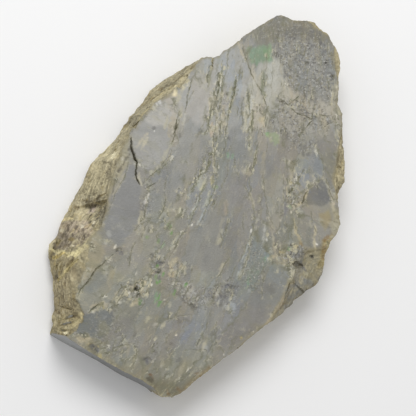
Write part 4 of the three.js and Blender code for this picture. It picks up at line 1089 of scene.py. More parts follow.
# Single grains: colour, strength, half width, half length, and their places as x, y, x, y.
FACE_GRAINS = [
    ("#4f4a3e", 0.7, 0.3, 0.7, 30.2, 32, -25.8, 5, -26.6, -2),
    ("#b8b29c", 0.7, 0.35, 0.8, 31.8, 28.8, 35.3, 11.6, -27.2, 8),
    # Light grains, and painted highlights where small cleavage faces catch the light.
    ("#e6e3dc", 1, 0.45, 1.2, -16.7, -7.6),
    ("#a5a6a2", 0.7, 1.3, 1, 1.5, -27.5, 3.4, -29, 15.4, -29.4),
    ("#aba793", 0.8, 0.45, 0.9, -1.6, -40.5, -6.2, -40.6, 11.2, -42, 1.6, -51, 10.5, -27, 11.6, -29.4,
     -5.4, -15.2, -5.6, -16.6, 9.6, -18.6, 6.5, -9.4, 6.6, -12.2, 15.2, -19.4, 15.6, -15.4),
    ("#d3c9a6", 1, 0.9, 2, -17.5, 28.4, -18.5, 25.6, -16.9, 30.8),
    ("#eee4c4", 0.9, 0.35, 0.9, -18.7, 25, -18, 27.4),
    ("#cfcdc6", 1, 0.4, 0.9, -21.8, 21, -22.5, 20.2, -23.2, 19.4),
    # Painted highlights on the small cleavage faces.
    ("#d2cfc4", 0.95, 0.26, 0.42, *PAINTED_GLINTS),
    ("#c5bc9c", 1, 0.6, 0.8, -13.8, -35.6, -12.8, -36.4, -14.4, -34.2, -10.2, -31.2, -11.6, -31,
     -9.4, -34, -11.6, -37.2),
    ("#aaa288", 0.9, 0.9, 1.2, -13.2, -33.6, -9.8, -32.6, -11, -36.2, -9, -26.6, -4.3, -22.4,
     -3.4, -25.4, -1.5, -23.1, -12.4, -32),
    ("#b2ac94", 0.75, 0.4, 0.8, -1.4, -34.7, -8.6, -23, -16.9, -15, 28.1, -7, -20.2, -41, 12, 21.4,
     -17.9, 0.2, -7.7, -14, -0.2, 0, -1.7, -40.8, 25.9, 6.4, 33, -12.6, -0.4, 6.6),
    ("#a8a8a1", 0.55, 0.5, 0.7, -0.4, -28.2, 1.3, -27.4, 3.2, -29, 0.6, -29.6, 14.4, -27.6, 15.2, -29.4,
     19, -22.8, 11.8, -42.6, -3.6, -41.2, -24.2, -20, 10.4, 43.4, 13.2, 45, 18, 46.2, 14.8, 48.6,
     10.5, -27.3, 11.7, -29.1, 15.3, -26.7, -23.7, -20.8, 12, 42.6),
    ("#aaa38b", 0.85, 0.65, 0.55, 24.6, -9.2, 25.5, -9.6, 26.2, -11.2, 23, -11.6, 26.6, -13, 28, -9.4,
     27.4, -6),
    ("#ab9f70", 0.9, 0.4, 0.55, 20.7, -36.6, 29.3, -5.4, 21.4, 11, -15.8, -54.6, -17.2, -52.6),
    # Dark grains and dirt, and open pits painted dark, partly dirt and partly painted shade.
    ("#7b7560", 0.6, 1.2, 1, 6, 56, 18.6, 56.2, 22.4, 51.6, 10.6, 57.8),
    ("#5c5d60", 0.55, 0.8, 0.6, 12, 55.4, 15, 56.8, 18, 54.4, 20, 52.4, 16, 52.6, 22, 50, 9.6, 53),
    ("#332f26", 1, 0.45, 0.6, -12.1, -33.2),
    ("#5a5850", 0.75, 0.5, 0.6, -10.9, -34.9, -20.3, -24.2, -8.7, -24.5, 21.5, -16.4, -6.2, -28.4,
     21.5, 48.8, 24.1, 45.6),
    ("#5f5f63", 0.8, 0.9, 0.6, -7.6, -24, -2.8, -51.4, -19.4, -24.6, 12.3, -24.1, 13.8, -24,
     -17.4, -53.2, -18.8, -53),
    ("#5d5b58", 0.85, 0.45, 0.7, 29, -8.2, 30, -9, 30.6, -7.8, 29.6, -10.2, 31, -10.6, 31.9, -11.3,
     30.2, -12, 32.5, -11.9, 30.9, -9.4, 28.6, -9.6, 31.6, -8.6, 9.6, -25.6, 11.6, -27, 14.6, -25.6,
     13, -27.4, 9.4, -28),
    ("#686660", 0.75, 0.55, 0.5, 33.6, -7.8, 35.9, -9.4, 8.3, -27.4, 4.6, -31.8, 5.2, -33.3, 1.3, -46.6,
     3.2, -47.4, 2.2, -45, -15.9, -41.2, -17.6, -39.6, -1, -48.6, 12.6, -26.3, 12.1, -29.7, 9.2, -28,
     -22.2, -43.4, -7.9, 16.8, 0.8, 17.6, 6.9, 46.2, 15.8, 46.9, -20.9, 12.8,
     7.4, -13.4, 2, -37.7, 0.4, -43, 17.4, 23.6, 19.6, 23.5, 22.4, 22.7, 23.8, 20.7, 21.7, 1.4,
     2.4, -27.8, -24.3, 15.7, 15.4, -42, 5.1, 21.1),
    ("#b5aa82", 0.9, 0.8, 0.7, 28.3, -6.7, 24.9, -9.1, 36.5, -3.4),
    ("#7a6230", 0.9, 0.5, 0.7, 36.7, -5.4, 29.7, -5.6, 35.6, -2.4),
    ("#aca389", 0.85, 1, 0.8, -7.4, 27.3, -3, 23.6, 3, 26, 8, 26, -4.4, 18.6, -2.6, 20.6, -20.6, -51.6,
     -22.6, -52.4),
    ("#a99d70", 0.9, 0.7, 0.5, -15.9, -54.3, -19.8, -40.9),
    ("#504a36", 0.85, 1.1, 0.5, -0.6, -56.5),
    ("#6f6e67", 0.7, 1.3, 1.5, 5.6, -33, 24.8, -21),
    ("#66645b", 0.8, 0.4, 0.9, 16.5, 23.6, 18.8, 23.2, 23.5, 24, 20.9, 22.5, 22.4, 20.4, 12.4, -29.8,
     7.5, -8, -8.2, -46, 12.6, -38.6, 5.4, -48.6, -13.4, 13.6, -7.8, 21.4),
    ("#6b4f2c", 0.9, 0.8, 0.25, -8, -26.9, -0.6, -55.4, 11.9, 33.4),
    ("#785f37", 0.7, 0.9, 0.6, 36.3, -4.2, 36.7, -6.6, 8.2, -56.6, 5.6, -58.6, 12.4, -51, 36, -1.6,
     29.4, -5.2),
    ("#75704f", 0.8, 0.7, 0.5, 12.4, 41.2, -25.8, 14, -16.9, -51.2),
    # Green flashes of labradorescence, a reflection painted in as colour.
    ("#5d8c45", 0.9, 0.4, 0.7, -8.1, -13.1, -7.2, -15, -8.1, -25, -5.7, -26.5, -6.1, -28.9, -9.7, -36.1,
     -4.3, -34.9, -1.3, -30.9, 1.2, -27.6, -5, -33.4, -6.8, -29.6),
    ("#3b4030", 0.9, 0.5, 0.7, -7.3, -26.3, -6.6, -27.8),
    ("#769868", 0.5, 1, 1.6, 3.9, 45.6),
    ("#759c66", 0.85, 0.5, 0.45, 10.6, 22.8, 26.4, -7.8, 23.3, 3.9),
    ("#8b9674", 0.8, 1.4, 1.1, 13.6, 21.4, 12.6, 22.6),
    ("#7a9673", 0.7, 0.35, 0.9, 1.7, 12.5, 3.1, 12.7, -5.6, -34.4, -6.2, -33.4, 17.6, -20.6, 18.2, -22,
     20.6, -12.6, -8.4, -18.8),
    ("#7b8d5e", 0.85, 0.5, 0.7, -8.4, -25.6, -7.4, -27.8, -10.3, -35.6, -8.7, -12.6, -10, -18.2,
     -13.4, -18, 1.1, 2.4),
    ("#7d8c77", 0.3, 1.5, 2.4, 18.4, -18, 19.4, -20.6, 20.8, -13.4),
]
print(len(FACE_PATCHES), "patches,", len(FACE_STREAKS), "streaks,", len(FACE_GRAINS), "kinds of grain")

# %% Map the patches of the broken flank
FLANK_COLOUR = "#988f72"
FLANK_PATCHES = [
    ("#a59d82", 0.8, 3, -36, -14, -38, -2, -34, 10, -29, 10, -28, -2, -29, -13),
    ("#948e76", 0.8, 3, -34, 6, -27, 20, -17, 36, -6, 50, -4, 44, -16, 28, -26, 12),
    ("#a39a7b", 0.8, 0.8, -35, -10.5, -35.5, 0, -32, 0.5, -30, -4, -30.2, -10.5),
    ("#b5ac8b", 0.9, 0.6, -31.2, 0.6, -31.4, 6.4, -29, 6.6, -28.4, 1),
    ("#b6ac8c", 0.9, 0.7, -34.5, -13.2, -34.6, -17.4, -31.4, -17.6, -30.6, -13.8),
    ("#b5a79a", 0.9, 0.6, -30.8, -12.8, -31.2, -15.2, -29.2, -15.4, -29, -13),
    ("#6d6857", 0.9, 0.6, -28.8, -12.8, -28.8, -18.8, -26.6, -18.8, -26.6, -12.6),
    ("#aa9d88", 1, 0.5, -38.8, -21, -36, -19.5, -31, -17.4, -29.4, -19.5, -28.4, -21, -29, -24,
     -38.6, -24),
    ("#8c8270", 1, 0.8, -39, -23.4, -33, -22.8, -29, -23, -30, -26.2, -34, -28.3, -39, -26.8),
    ("#958a69", 0.8, 1.5, -40, -29.5, -33, -30, -33.6, -40, -40, -40),
    ("#95896a", 0.7, 0.9, -33, -30.4, -29.6, -29.6, -28.8, -38, -30, -43, -33.4, -42),
    ("#8f8461", 0.8, 0.8, -34, -46.5, -27, -45.2, -23.8, -46, -25.6, -51, -33, -53),
    ("#93886a", 0.8, 1, -34, -40, -27.5, -41, -27, -45.4, -35, -46),
]
FLANK_STREAKS = [
    ("#cfc496", 0.7, 0.95, -38.6, -28.2, -36, -28.9, -33, -29.5, -31, -28.9, -29.4, -26.4, -27.7, -22.8,
     -26.4, -20.2),
    ("#c9bb86", 0.6, 0.9, -30, -29.8, -31.6, -33, -33.4, -36.2),
    ("#5f5231", 0.5, 0.8, -31.2, -30.6, -32.9, -33.6, -34.6, -36.4),
    ("#cdbf92", 0.5, 0.9, -38.4, -19.6, -36.4, -18.9, -34.6, -17.9),
    # Painted shadow under the ledge that overhangs the flank.
    ("#5b4d28", 0.45, 0.9, -28.6, -9.4, -30, -11, -31, -12.4, -33.5, -12.2, -35.2, -12.8),
    ("#6a5f45", 0.35, 0.8, -36.2, -20, -38.6, -21.6),
    ("#5c4c26", 0.4, 0.9, -33.6, -43.4, -31.6, -44.4, -29.8, -45.4, -28.6, -46.6),
    ("#4c3d1c", 0.35, 0.9, -31.6, -51.2, -29, -51.4, -27, -52.2),
    ("#b9ad84", 0.45, 0.9, -24.9, -44.9, -24, -46.3, -24.7, -48, -25.9, -49.8),
    ("#5f5437", 0.3, 0.8, -28, -47.8, -26.4, -46.4, -25.2, -45.6),
    ("#b9b08e", 0.5, 0.8, -29.4, -5.4, -29.6, -8.4),
    ("#aca27c", 0.5, 0.8, -25.8, 14.4, -23.8, 18.4, -21.4, 22.4),
    ("#665c3f", 0.45, 0.8, -26.4, 19.4, -23.6, 23.2, -21, 26),
    ("#a79d7a", 0.5, 0.8, -24.4, 20.4, -21.6, 24.2, -18.6, 28.2),
    ("#6b6144", 0.4, 0.8, -20.4, 27.6, -18, 31, -15.4, 35),
    ("#b8ad86", 0.45, 0.7, -16.6, 32, -13.4, 36.4, -10.4, 40.6),
    ("#6d6347", 0.4, 0.8, -15.6, 37.6, -12.6, 40.8, -9.4, 43.6),
    ("#a99e74", 0.6, 0.6, -32.4, 2, -31.4, 7.6, -29.6, 12),
    ("#6c6245", 0.4, 0.7, -30.4, 9.6, -28.4, 14, -27.4, 17.6),
]
FLANK_GRAINS = [
    ("#dcd4b2", 1, 0.5, 0.9, -29.5, 1.9, -27, -51.4),
    ("#454036", 0.8, 0.3, 0.6, -30.2, -16.2, -29.2, -15.2, -29.9, -18.2, -28.7, -19.2, -30.6, -14.8,
     -28.6, -17.2),
    ("#5f5648", 0.8, 0.4, 0.7, -33, -20.6, -35, -21.8, -31, -21.6, -36.6, -22.8, -33.4, -23.2,
     -30.4, -23.4),
    ("#d5cdb4", 0.9, 0.4, 0.5, -28.9, -18.4, -32.4, -26.6, -36.2, -22.4, -31.6, -20.4),
    ("#7a6d45", 0.8, 0.9, 0.9, -34.4, -33, -36.4, -35.4, -33.2, -24.8, -36.8, -25.4),
    ("#b8a460", 0.8, 0.9, 0.5, -34.4, -29.7, -35.6, -30.6, -27.4, -23.4),
    ("#6e6143", 0.8, 0.8, 0.6, -31.8, -37.8, -33.4, -41.4, -34.6, -15, -22, 26.6),
    ("#b3a987", 0.8, 0.8, 0.5, -27.4, -47.6, -30.2, -48.4, -26.6, -49.6, -31.6, -46.6),
]
print(len(FLANK_PATCHES), "patches and", len(FLANK_STREAKS), "streaks on the flank")

# %% [markdown]
# The colours now go on to the skin, one after the other, as a painter lays thin coats. The
# ragged edges come from the same frayed points that shaped the rough patches. The width of
# a streak wanders along its course, and single grains lie with the grain of the stone.


# %% Tell the calm crystals from the busy ones
# Each calm crystal: how calm it is, and its outline as x, y, x, y.
CALM_CRYSTALS = [
    (0.7, -25, -0.2, -23, 1.6, -21.6, -2.6, -19.4, -4.8, -18.3, -8, -17.3, -14.5, -18.2, -19,
     -20.4, -22.8, -24.3, -21.5, -26.3, -18, -26.4, -12, -26, -7),
    (0.8, 1.6, -4, 6.2, -5, 6.2, -11, 8.8, -15, 9, -22, 4, -22.5, -2, -22, -2, -16, 0, -10),
    (0.7, -0.6, 27, 3, 22, 4.4, 15.6, 3.4, 13, -0.2, 18),
    (0.6, -13.6, 30, -9.6, 29, -7, 20.5, -8.2, 17.8, -13.4, 19),
    (0.5, -13.4, 17, -7.6, 16, -6, 10, -7.2, 3, -11.8, 3, -13.6, 9),
    (0.6, 2.4, 9, 9, 7, 10.4, 3, 8, -2, 6.6, -4, 2.4, 1),
    (0.6, 28.4, 11, 31.4, 14, 33.6, 11, 35, 7.6, 31.5, 6.2, 28.6, 6.8),
    (0.6, 10.2, 16, 14.6, 15, 15, 10, 10.8, 9.5),
    (0.5, 20, -24, 26, -22, 25, -31, 17, -38),
    (0.5, -24, -33, -20.6, -31, -19.6, -36, -22.4, -42, -26, -41),
    (0.5, -11, -42, -6, -42, -5, -52, -9.6, -53),
    (0.7, -20.2, -41.2, -16.2, -41.6, -14.2, -46, -17, -50, -22, -51.6, -25.8, -49.6, -24.8, -46.4,
     -22.3, -43.9),
]


def busy_share(points):
    """How much fine pattern points have: 1 nearly everywhere, and less in calm crystals."""
    moved = frayed(points, 0.6)
    busy = np.ones(len(points))
    for calm, *flat in CALM_CRYSTALS:
        busy = np.minimum(busy, 1 - calm * smooth(-0.8, 1.2, depth_inside(moved, pairs(flat))))
    return busy


busy = busy_share(plan)
keep("busy", busy)
print(f"{(busy < 0.7).mean():.0%} of the points lie in calm crystals")


# %% Paint the points of the skin
def painted(base, patches, streaks, grains, chosen):
    """Colours for the chosen points: a base colour with patches, streaks and grains on it."""
    points = plan[chosen]
    colours = np.tile(linear(base), (len(points), 1))
    for code, strength, soft, *flat in patches:
        depth = depth_inside(frayed(points, min(0.9, 0.15 + soft / 2)), pairs(flat))
        colours = lay(colours, code, strength * smooth(-soft, soft, depth))
    ragged = frayed(points, 0.25)
    uneven = 1 + 0.55 * random_field(points, 1.1, 21) + 0.3 * random_field(points, 0.5, 22)
    for code, half_width, strength, *flat in streaks:
        gap, reached = gap_and_reach(ragged, pairs(flat))
        taper = np.sin(math.pi * np.clip(reached, 0.03, 0.97)) ** 0.4
        worn = 0.9 + 0.5 * random_field(points, 1.6, 23)
        gap /= half_width * uneven * taper
        colours = lay(colours, code, strength * np.clip(worn, 0, 1) * smooth(1.35, 0.7, gap))
    along = grain_direction(points)
    for code, strength, half_width, half_length, *flat in grains:
        for centre in pairs(flat):
            away = ragged - np.array(centre)
            down = (away * along).sum(axis=1)
            aside = away[:, 0] * along[:, 1] - away[:, 1] * along[:, 0]
            gap = np.hypot(aside / half_width, down / half_length) / uneven
            colours = lay(colours, code, strength * smooth(1.35, 0.7, gap))
    return colours


on_top = ((rim_depth > -0.05) | (fresh > 0.5)) & (under < 1) & (corner < 0.5)
tone = np.empty((len(plan), 4))
tone[:, 3] = 1
tone[on_top, :3] = painted(BASE_COLOUR, FACE_PATCHES, FACE_STREAKS, FACE_GRAINS, on_top)
tone[~on_top, :3] = painted(FLANK_COLOUR, FLANK_PATCHES, FLANK_STREAKS, FLANK_GRAINS, ~on_top)
keep("tone", tone, "FLOAT_COLOR")
print(f"painted {on_top.sum()} points of the face and {(~on_top).sum()} others")

# %% [markdown]
# ## Carving with Geometry Nodes
# A crack follows a path, so it is a job for Geometry Nodes. The courses become one mesh of
# edges that knows its own width and depth at each point. The tree asks for the distance
# from each point of the skin to the nearest course, presses a V into the face where it is
# small, and keeps the result as attributes for the material. The same tree breaks grains
# out of the rough patches with a Voronoi pattern, whose cells have the size of the grains.


# %% Add nodes with one small function
# Short names for the kinds of node that are used most.
MATH, VECTOR, RANGE = "ShaderNodeMath", "ShaderNodeVectorMath", "ShaderNodeMapRange"
NOISE, CELLS, MIX = "ShaderNodeTexNoise", "ShaderNodeTexVoronoi", "ShaderNodeMix"
STORED, STORE = "GeometryNodeInputNamedAttribute", "GeometryNodeStoreNamedAttribute"


def node(tree, kind, *values, give=0, named=None, **settings):
    """Adds a node with its own settings. Its inputs are filled in order by values or links,
    or by name or number through named. Gives back one of its output sockets."""
    added = tree.nodes.new(kind)
    for setting, value in settings.items():
        setattr(added, setting, value)
    for place, value in {**dict(enumerate(values)), **(named or {})}.items():
        if isinstance(value, bpy.types.NodeSocket):
            tree.links.new(value, added.inputs[place])
        else:
            added.inputs[place].default_value = value
    return added.outputs[give]


def begin_tree(name, numbers):
    """A Geometry Nodes tree with named number inputs, and the sockets of its way in."""
    tree = bpy.data.node_groups.new(name, "GeometryNodeTree")
    tree.interface.new_socket("Geometry", in_out="INPUT", socket_type="NodeSocketGeometry")
    tree.interface.new_socket("Geometry", in_out="OUTPUT", socket_type="NodeSocketGeometry")
    for label in numbers:
        tree.interface.new_socket(label, in_out="INPUT", socket_type="NodeSocketFloat")
    entry = tree.nodes.new("NodeGroupInput")
    return tree, {socket.name: socket for socket in entry.outputs if socket.name}


def end_tree(tree, geometry, material):
    """Ends a tree: instances made real, the material set, and the result handed out."""
    real = node(tree, "GeometryNodeRealizeInstances", geometry)
    painted = node(tree, "GeometryNodeSetMaterial", real, named={"Material": material})
    tree.links.new(painted, tree.nodes.new("NodeGroupOutput").inputs[0])


def apply_tree(piece, tree, numbers):
    """Runs a tree on a piece with the given numbers and keeps the plain mesh it makes."""
    modifier = piece.modifiers.new(tree.name, "NODES")
    modifier.node_group = tree
    for item in tree.interface.items_tree:
        if item.in_out == "INPUT" and item.name in numbers:
            modifier[item.identifier] = numbers[item.name]
    graph = bpy.context.evaluated_depsgraph_get()
    made = bpy.data.meshes.new_from_object(
        piece.evaluated_get(graph), preserve_all_data_layers=True, depsgraph=graph
    )
    piece.modifiers.remove(modifier)
    piece.data = made


# %% Make the objects that the trees work on
stone = bpy.data.materials.new("lapped_and_weathered_labradorite")
slab = bpy.data.objects.new("labradorite_slab", mesh)
bpy.context.scene.collection.objects.link(slab)

rows = np.concatenate(cracks)
ends = set(np.cumsum([len(crack) for crack in cracks]))
links = [(i, i + 1) for i in range(len(rows) - 1) if i + 1 not in ends]
lines = bpy.data.meshes.new("crack_lines")
lines.from_pydata([(x * MM, y * MM, high.z) for x, y in rows[:, :2]], links, [])
for name, column in (("half_width", 2), ("deep", 3)):
    layer = lines.attributes.new(name, "FLOAT", "POINT")
    layer.data.foreach_set("value", (rows[:, column] * MM).astype(np.float32))
crack_lines = bpy.data.objects.new("crack_lines", lines)
bpy.context.scene.collection.objects.link(crack_lines)
keep("rim_depth", rim_depth * MM)
print(len(links), "edges in the crack lines")

# %% Build and run the carving tree
CARVING = {"Lip": 0.45 * MM, "Break size": 1.0 * MM, "Break depth": 0.22 * MM}


def carving_tree(numbers):
    """Presses the cracks into the face and breaks grains out of its rough patches."""
    tree, entry = begin_tree("carve the lapped face", numbers)
    place = node(tree, "GeometryNodeInputPosition")
    lines = node(tree, "GeometryNodeObjectInfo", crack_lines, give=4)
    gap = node(tree, "GeometryNodeProximity", lines, give=1, target_element="EDGES")
    nearest = node(tree, "GeometryNodeSampleNearest", lines, domain="POINT")
    half, deep = (
        node(tree, "GeometryNodeSampleIndex", lines, node(tree, STORED, name), nearest)
        for name in ("half_width", "deep")
    )
    crack = node(tree, RANGE, gap, 0.0, half, 1.0, 0.0)
    lip_end = node(tree, MATH, half, entry["Lip"])
    lip = node(tree, RANGE, gap, half, lip_end, 1.0, 0.0)
    per_size = node(tree, MATH, 1.0, entry["Break size"], operation="DIVIDE")
    rough = node(tree, STORED, "rough")
    sound = node(tree, MATH, 1.0, rough, operation="SUBTRACT")
    needed = node(tree, MATH, sound, 0.55, 0.42, operation="MULTIPLY_ADD")
    inputs = {"Vector": place, "Scale": 1 / (0.8 * MM), "Detail": 1.0}
    wander = node(tree, NOISE, give=1, named=inputs)
    wander = node(tree, VECTOR, wander, operation="SCALE", named={"Scale": 0.9 * MM})
    bent = node(tree, VECTOR, place, wander)
    pits = []
    for finer, shift in ((1.0, 0.0), (2.1, 0.0073)):
        scale = node(tree, MATH, per_size, finer, operation="MULTIPLY")
        moved = node(tree, VECTOR, bent, (shift, shift, 0.0))
        inputs = {"Vector": moved, "Scale": scale}
        to_centre = node(tree, CELLS, named=inputs)
        chance = node(tree, CELLS, named=inputs, give=1)
        chance = node(tree, "ShaderNodeSeparateXYZ", chance)
        lost = node(tree, MATH, chance, needed, operation="GREATER_THAN")
        bowl = node(tree, RANGE, to_centre, 0.12, 0.5, 1.0 / finer, 0.0)
        pits.append(node(tree, MATH, bowl, lost, operation="MULTIPLY"))
    pit = node(tree, MATH, *pits, operation="MAXIMUM")
    pit = node(tree, MATH, pit, rough, operation="MULTIPLY")
    down = node(tree, MATH, crack, deep, operation="MULTIPLY")
    down = node(tree, MATH, pit, entry["Break depth"], down, operation="MULTIPLY_ADD")
    down = node(tree, MATH, down, -1.0, operation="MULTIPLY")
    offset = node(tree, "ShaderNodeCombineXYZ", 0.0, 0.0, down)
    geometry = entry["Geometry"]
    for name, value in (("crack", crack), ("lip", lip), ("pit", pit), ("crack_depth", deep)):
        geometry = node(tree, STORE, geometry, named={"Name": name, "Value": value})
    geometry = node(tree, "GeometryNodeSetPosition", geometry, named={"Offset": offset})
    end_tree(tree, geometry, stone)
    return tree


apply_tree(slab, carving_tree(CARVING), CARVING)
print("attributes:", ", ".join(sorted(a.name for a in slab.data.attributes if a.name[0] != ".")))

# %% [markdown]
# ## The rind
# The outside of the lump weathered before it was sawn. It is lumpy, it breaks in small
# steps where the layers crop out, and it is grainy to the touch. Three sizes of noise along
# the normal give that. The step pattern is stretched along the edge of the slice, and its
# heights are cut into terraces with short steep risers between them.

# %% Build and run the rind tree
TERRACES = 7
RIND = {
    "Lump size": 4.5 * MM,
    "Lump height": 0.9 * MM,
    "Ledge height": 0.9 * MM,
    "Grain size": 0.75 * MM,
    "Grain height": 0.5 * MM,
    "Fray": 0.5 * MM,
}


def rind_tree(numbers):
    """Gives the rind its lumps, ledges and grain, and frays the rim of the face."""
    tree, entry = begin_tree("roughen the rind", numbers)
    place = node(tree, "GeometryNodeInputPosition")
    grain = node(tree, STORED, "grain", data_type="FLOAT_VECTOR")
    rind = node(tree, STORED, "rind")
    depth = node(tree, STORED, "rim_depth")
    fields = []
    for size, detail in (("Lump size", 2.0), ("Grain size", 3.0)):
        scale = node(tree, MATH, 1.0, entry[size], operation="DIVIDE")
        inputs = {"Vector": place, "Scale": scale, "Detail": detail}
        noise = node(tree, NOISE, named=inputs)
        fields.append(node(tree, MATH, noise, 0.5, operation="SUBTRACT"))
    lumps, grains = fields
    stretched = node(tree, VECTOR, grain, (0.55, 0.11, 0.3), operation="MULTIPLY")
    inputs = {"Vector": stretched, "Scale": 1.0, "Detail": 3.0}
    layers = node(tree, NOISE, named=inputs)
    layers = node(tree, MATH, layers, float(TERRACES), operation="MULTIPLY")
    whole = node(tree, MATH, layers, operation="FLOOR")
    riser = node(tree, MATH, layers, operation="FRACT")
    riser = node(tree, RANGE, riser, 0.6, 0.95, 0.0, 1.0)
    terraces = node(tree, MATH, whole, riser)
    terraces = node(tree, MATH, terraces, 1 / TERRACES, -0.5, operation="MULTIPLY_ADD")
    height = node(tree, MATH, lumps, entry["Lump height"], operation="MULTIPLY")
    for part, amount in ((terraces, "Ledge height"), (grains, "Grain height")):
        height = node(tree, MATH, part, entry[amount], height, operation="MULTIPLY_ADD")
    height = node(tree, MATH, height, rind, operation="MULTIPLY")
    normal = node(tree, "GeometryNodeInputNormal")
    offset = node(tree, VECTOR, normal, operation="SCALE", named={"Scale": height})
    away = node(tree, MATH, depth, operation="ABSOLUTE")
    near_rim = node(tree, RANGE, away, 0.0, 1.2 * MM, 1.0, 0.0)
    amount = node(tree, MATH, near_rim, entry["Fray"], operation="MULTIPLY")
    inputs = {"Vector": place, "Scale": 1 / (0.9 * MM), "Detail": 1.0}
    fray = node(tree, NOISE, give=1, named=inputs)
    fray = node(tree, VECTOR, fray, (-0.5, -0.5, -0.5))
    fray = node(tree, VECTOR, fray, (1.0, 1.0, 0.0), operation="MULTIPLY")
    fray = node(tree, VECTOR, fray, operation="SCALE", named={"Scale": amount})
    offset = node(tree, VECTOR, offset, fray)
    relief = node(tree, MATH, terraces, grains)
    relief = node(tree, MATH, relief, lumps)
    geometry = node(tree, STORE, entry["Geometry"], named={"Name": "relief", "Value": relief})
    geometry = node(tree, "GeometryNodeSetPosition", geometry, named={"Offset": offset})
    end_tree(tree, geometry, stone)
    return tree


apply_tree(slab, rind_tree(RIND), RIND)
relief = np.empty(len(slab.data.vertices))
slab.data.attributes["relief"].data.foreach_get("value", relief)
print(f"relief of the rind {np.percentile(relief, 5):.2f} to {np.percentile(relief, 95):.2f}")

# %% [markdown]
# ## The finish: lapped labradorite
# One material does the whole skin, because the surfaces run into each other at the rim. It
# starts from the stone itself: feldspar lapped with a coarse grit gives a dull grey with a
# roughness near 0.5 and the refractive index of feldspar, 1.56. Fine streaks follow the
# grain. They are noise that is read in the grain coordinates and stretched along them.
# Each layer of noise is one row of a table: its size in millimetres and how much it darkens
# or lightens the stone. The layers are multiplied together.

# %% Layers of the stone's pattern
# Each layer: coordinates, size in mm across, along and through, detail, darkest, lightest.
FACE_LAYERS = [
    ("grain", (0.9, 4.0, 1.0), 2.0, 0.965, 1.035),
    ("grain", (2.2, 9.0, 1.0), 2.0, 0.94, 1.06),
    ("place", (3.6, 3.6, 3.6), 3.0, 0.92, 1.08),
    ("place", (0.7, 0.7, 0.7), 2.0, 0.95, 1.05),
]
RIND_LAYERS = [
    ("grain", (1.0, 9.0, 1.0), 3.0, 0.70, 1.36),
    ("place", (2.4, 2.4, 2.4), 3.0, 0.82, 1.22),
    ("place", (0.6, 0.6, 0.6), 3.0, 0.70, 1.30),
]

stone.use_nodes = True
shade = stone.node_tree
shade.nodes.clear()
place = node(shade, "ShaderNodeTexCoord", give=3)
coordinates = {
    "place": node(shade, VECTOR, place, (1 / MM,) * 3, operation="MULTIPLY"),
    "grain": node(shade, "ShaderNodeAttribute", give=1, attribute_name="grain"),
}
tone_of = node(shade, "ShaderNodeAttribute", attribute_name="tone")
share = {
    name: node(shade, "ShaderNodeAttribute", give=2, attribute_name=name)
    for name in (
        "rind", "sawn", "under", "crack", "crack_depth", "lip", "pit", "relief", "rough",
        "crumbled", "hollow", "busy", "rim_depth"
    )
}


def layered(colour, layers):
    """Multiplies a colour by layers of noise."""
    for which, size, detail, darkest, lightest in layers:
        scaled = node(
            shade, VECTOR, coordinates[which], tuple(1 / s for s in size), operation="MULTIPLY"
        )
        noise = node(shade, NOISE, scaled, named={"Detail": detail, "Scale": 1.0})
        factor = node(shade, RANGE, noise, 0.25, 0.75, darkest, lightest)
        colour = node(shade, VECTOR, colour, operation="SCALE", named={3: factor})
    return colour


# %% [markdown]
# The lapped face gets its layers, then the damage is painted in: dirt fills the cracks, clay
# makes their lips pale, and broken pits are painted darker than the sound stone, partly as
# dirt and partly as painted shade.

# %% Lay flat colours over a colour
def over(colour, code, amount, *more):
    """Lays one flat colour over a colour socket. Several amounts are multiplied together."""
    for factor in more:
        amount = node(shade, MATH, amount, factor, operation="MULTIPLY")
    top_colour = (*linear(code), 1.0)
    return node(shade, MIX, named={0: amount, 6: colour, 7: top_colour}, give=2, data_type="RGBA")


def patchy(size, start, full, most, stretch=None):
    """Noise that is nothing in most places and reaches its most in patches of one size. With
    a stretch, the patches lie along the grain and are that many times longer than wide."""
    inputs = {"Vector": coordinates["place"], "Scale": 1 / size, "Detail": 2.0}
    if stretch:
        inputs["Vector"] = node(
            shade, VECTOR, coordinates["grain"], (1.0, 1 / stretch, 1.0), operation="MULTIPLY"
        )
    noise = node(shade, NOISE, named=inputs)
    return node(shade, RANGE, noise, start, full, 0.0, most)


# %% Tint the lapped face along its grain
# Tints and flecks that lie along the grain: colour, width in mm, times longer than wide,
# where the noise starts to show and shows fully, and the most it covers.
GRAIN_TINTS = [
    ("#8a8662", 2.8, 1.7, 0.52, 0.68, 0.26),
    ("#7f8079", 3.3, 1.6, 0.53, 0.70, 0.25),
    ("#a5a08b", 0.7, 2.4, 0.60, 0.70, 0.45),
    ("#71705f", 0.6, 2.2, 0.60, 0.70, 0.45),
    ("#b0ab98", 0.4, 1.6, 0.66, 0.76, 0.60),
    ("#66645a", 0.4, 1.6, 0.68, 0.78, 0.60),
]
face_colour = layered(tone_of, FACE_LAYERS)
for code, width, stretch, start, full, most in GRAIN_TINTS:
    tint = patchy(width, start, full, most, stretch)
    face_colour = over(face_colour, code, tint, share["busy"])
print(len(GRAIN_TINTS), "tints along the grain")

# %% [markdown]
# Labradorite cleaves along two planes, so the polish shows a patchwork of long facets, each
# a little lighter, darker, warmer or cooler than the next. The lighter and darker part is partly
# the crystals' own tone and partly a painted reflection, since each cleavage plane throws the
# light back a little differently. Voronoi cells, drawn out along the grain, give such a
# patchwork, and the distance to a cell's edge shows where two facets meet.

# %% Split the lapped face into cleavage facets
# Each layer of facets: width and length in mm, and how much they differ in lightness.
FACETS = [(5.2, 19.0, 0.085), (2.3, 8.0, 0.06)]
FACET_COOLEST, FACET_WARMEST, BLUE_SWING = -0.034, 0.036, -1.6
FACET_BEND = (0.5, 0.25, 0.0)


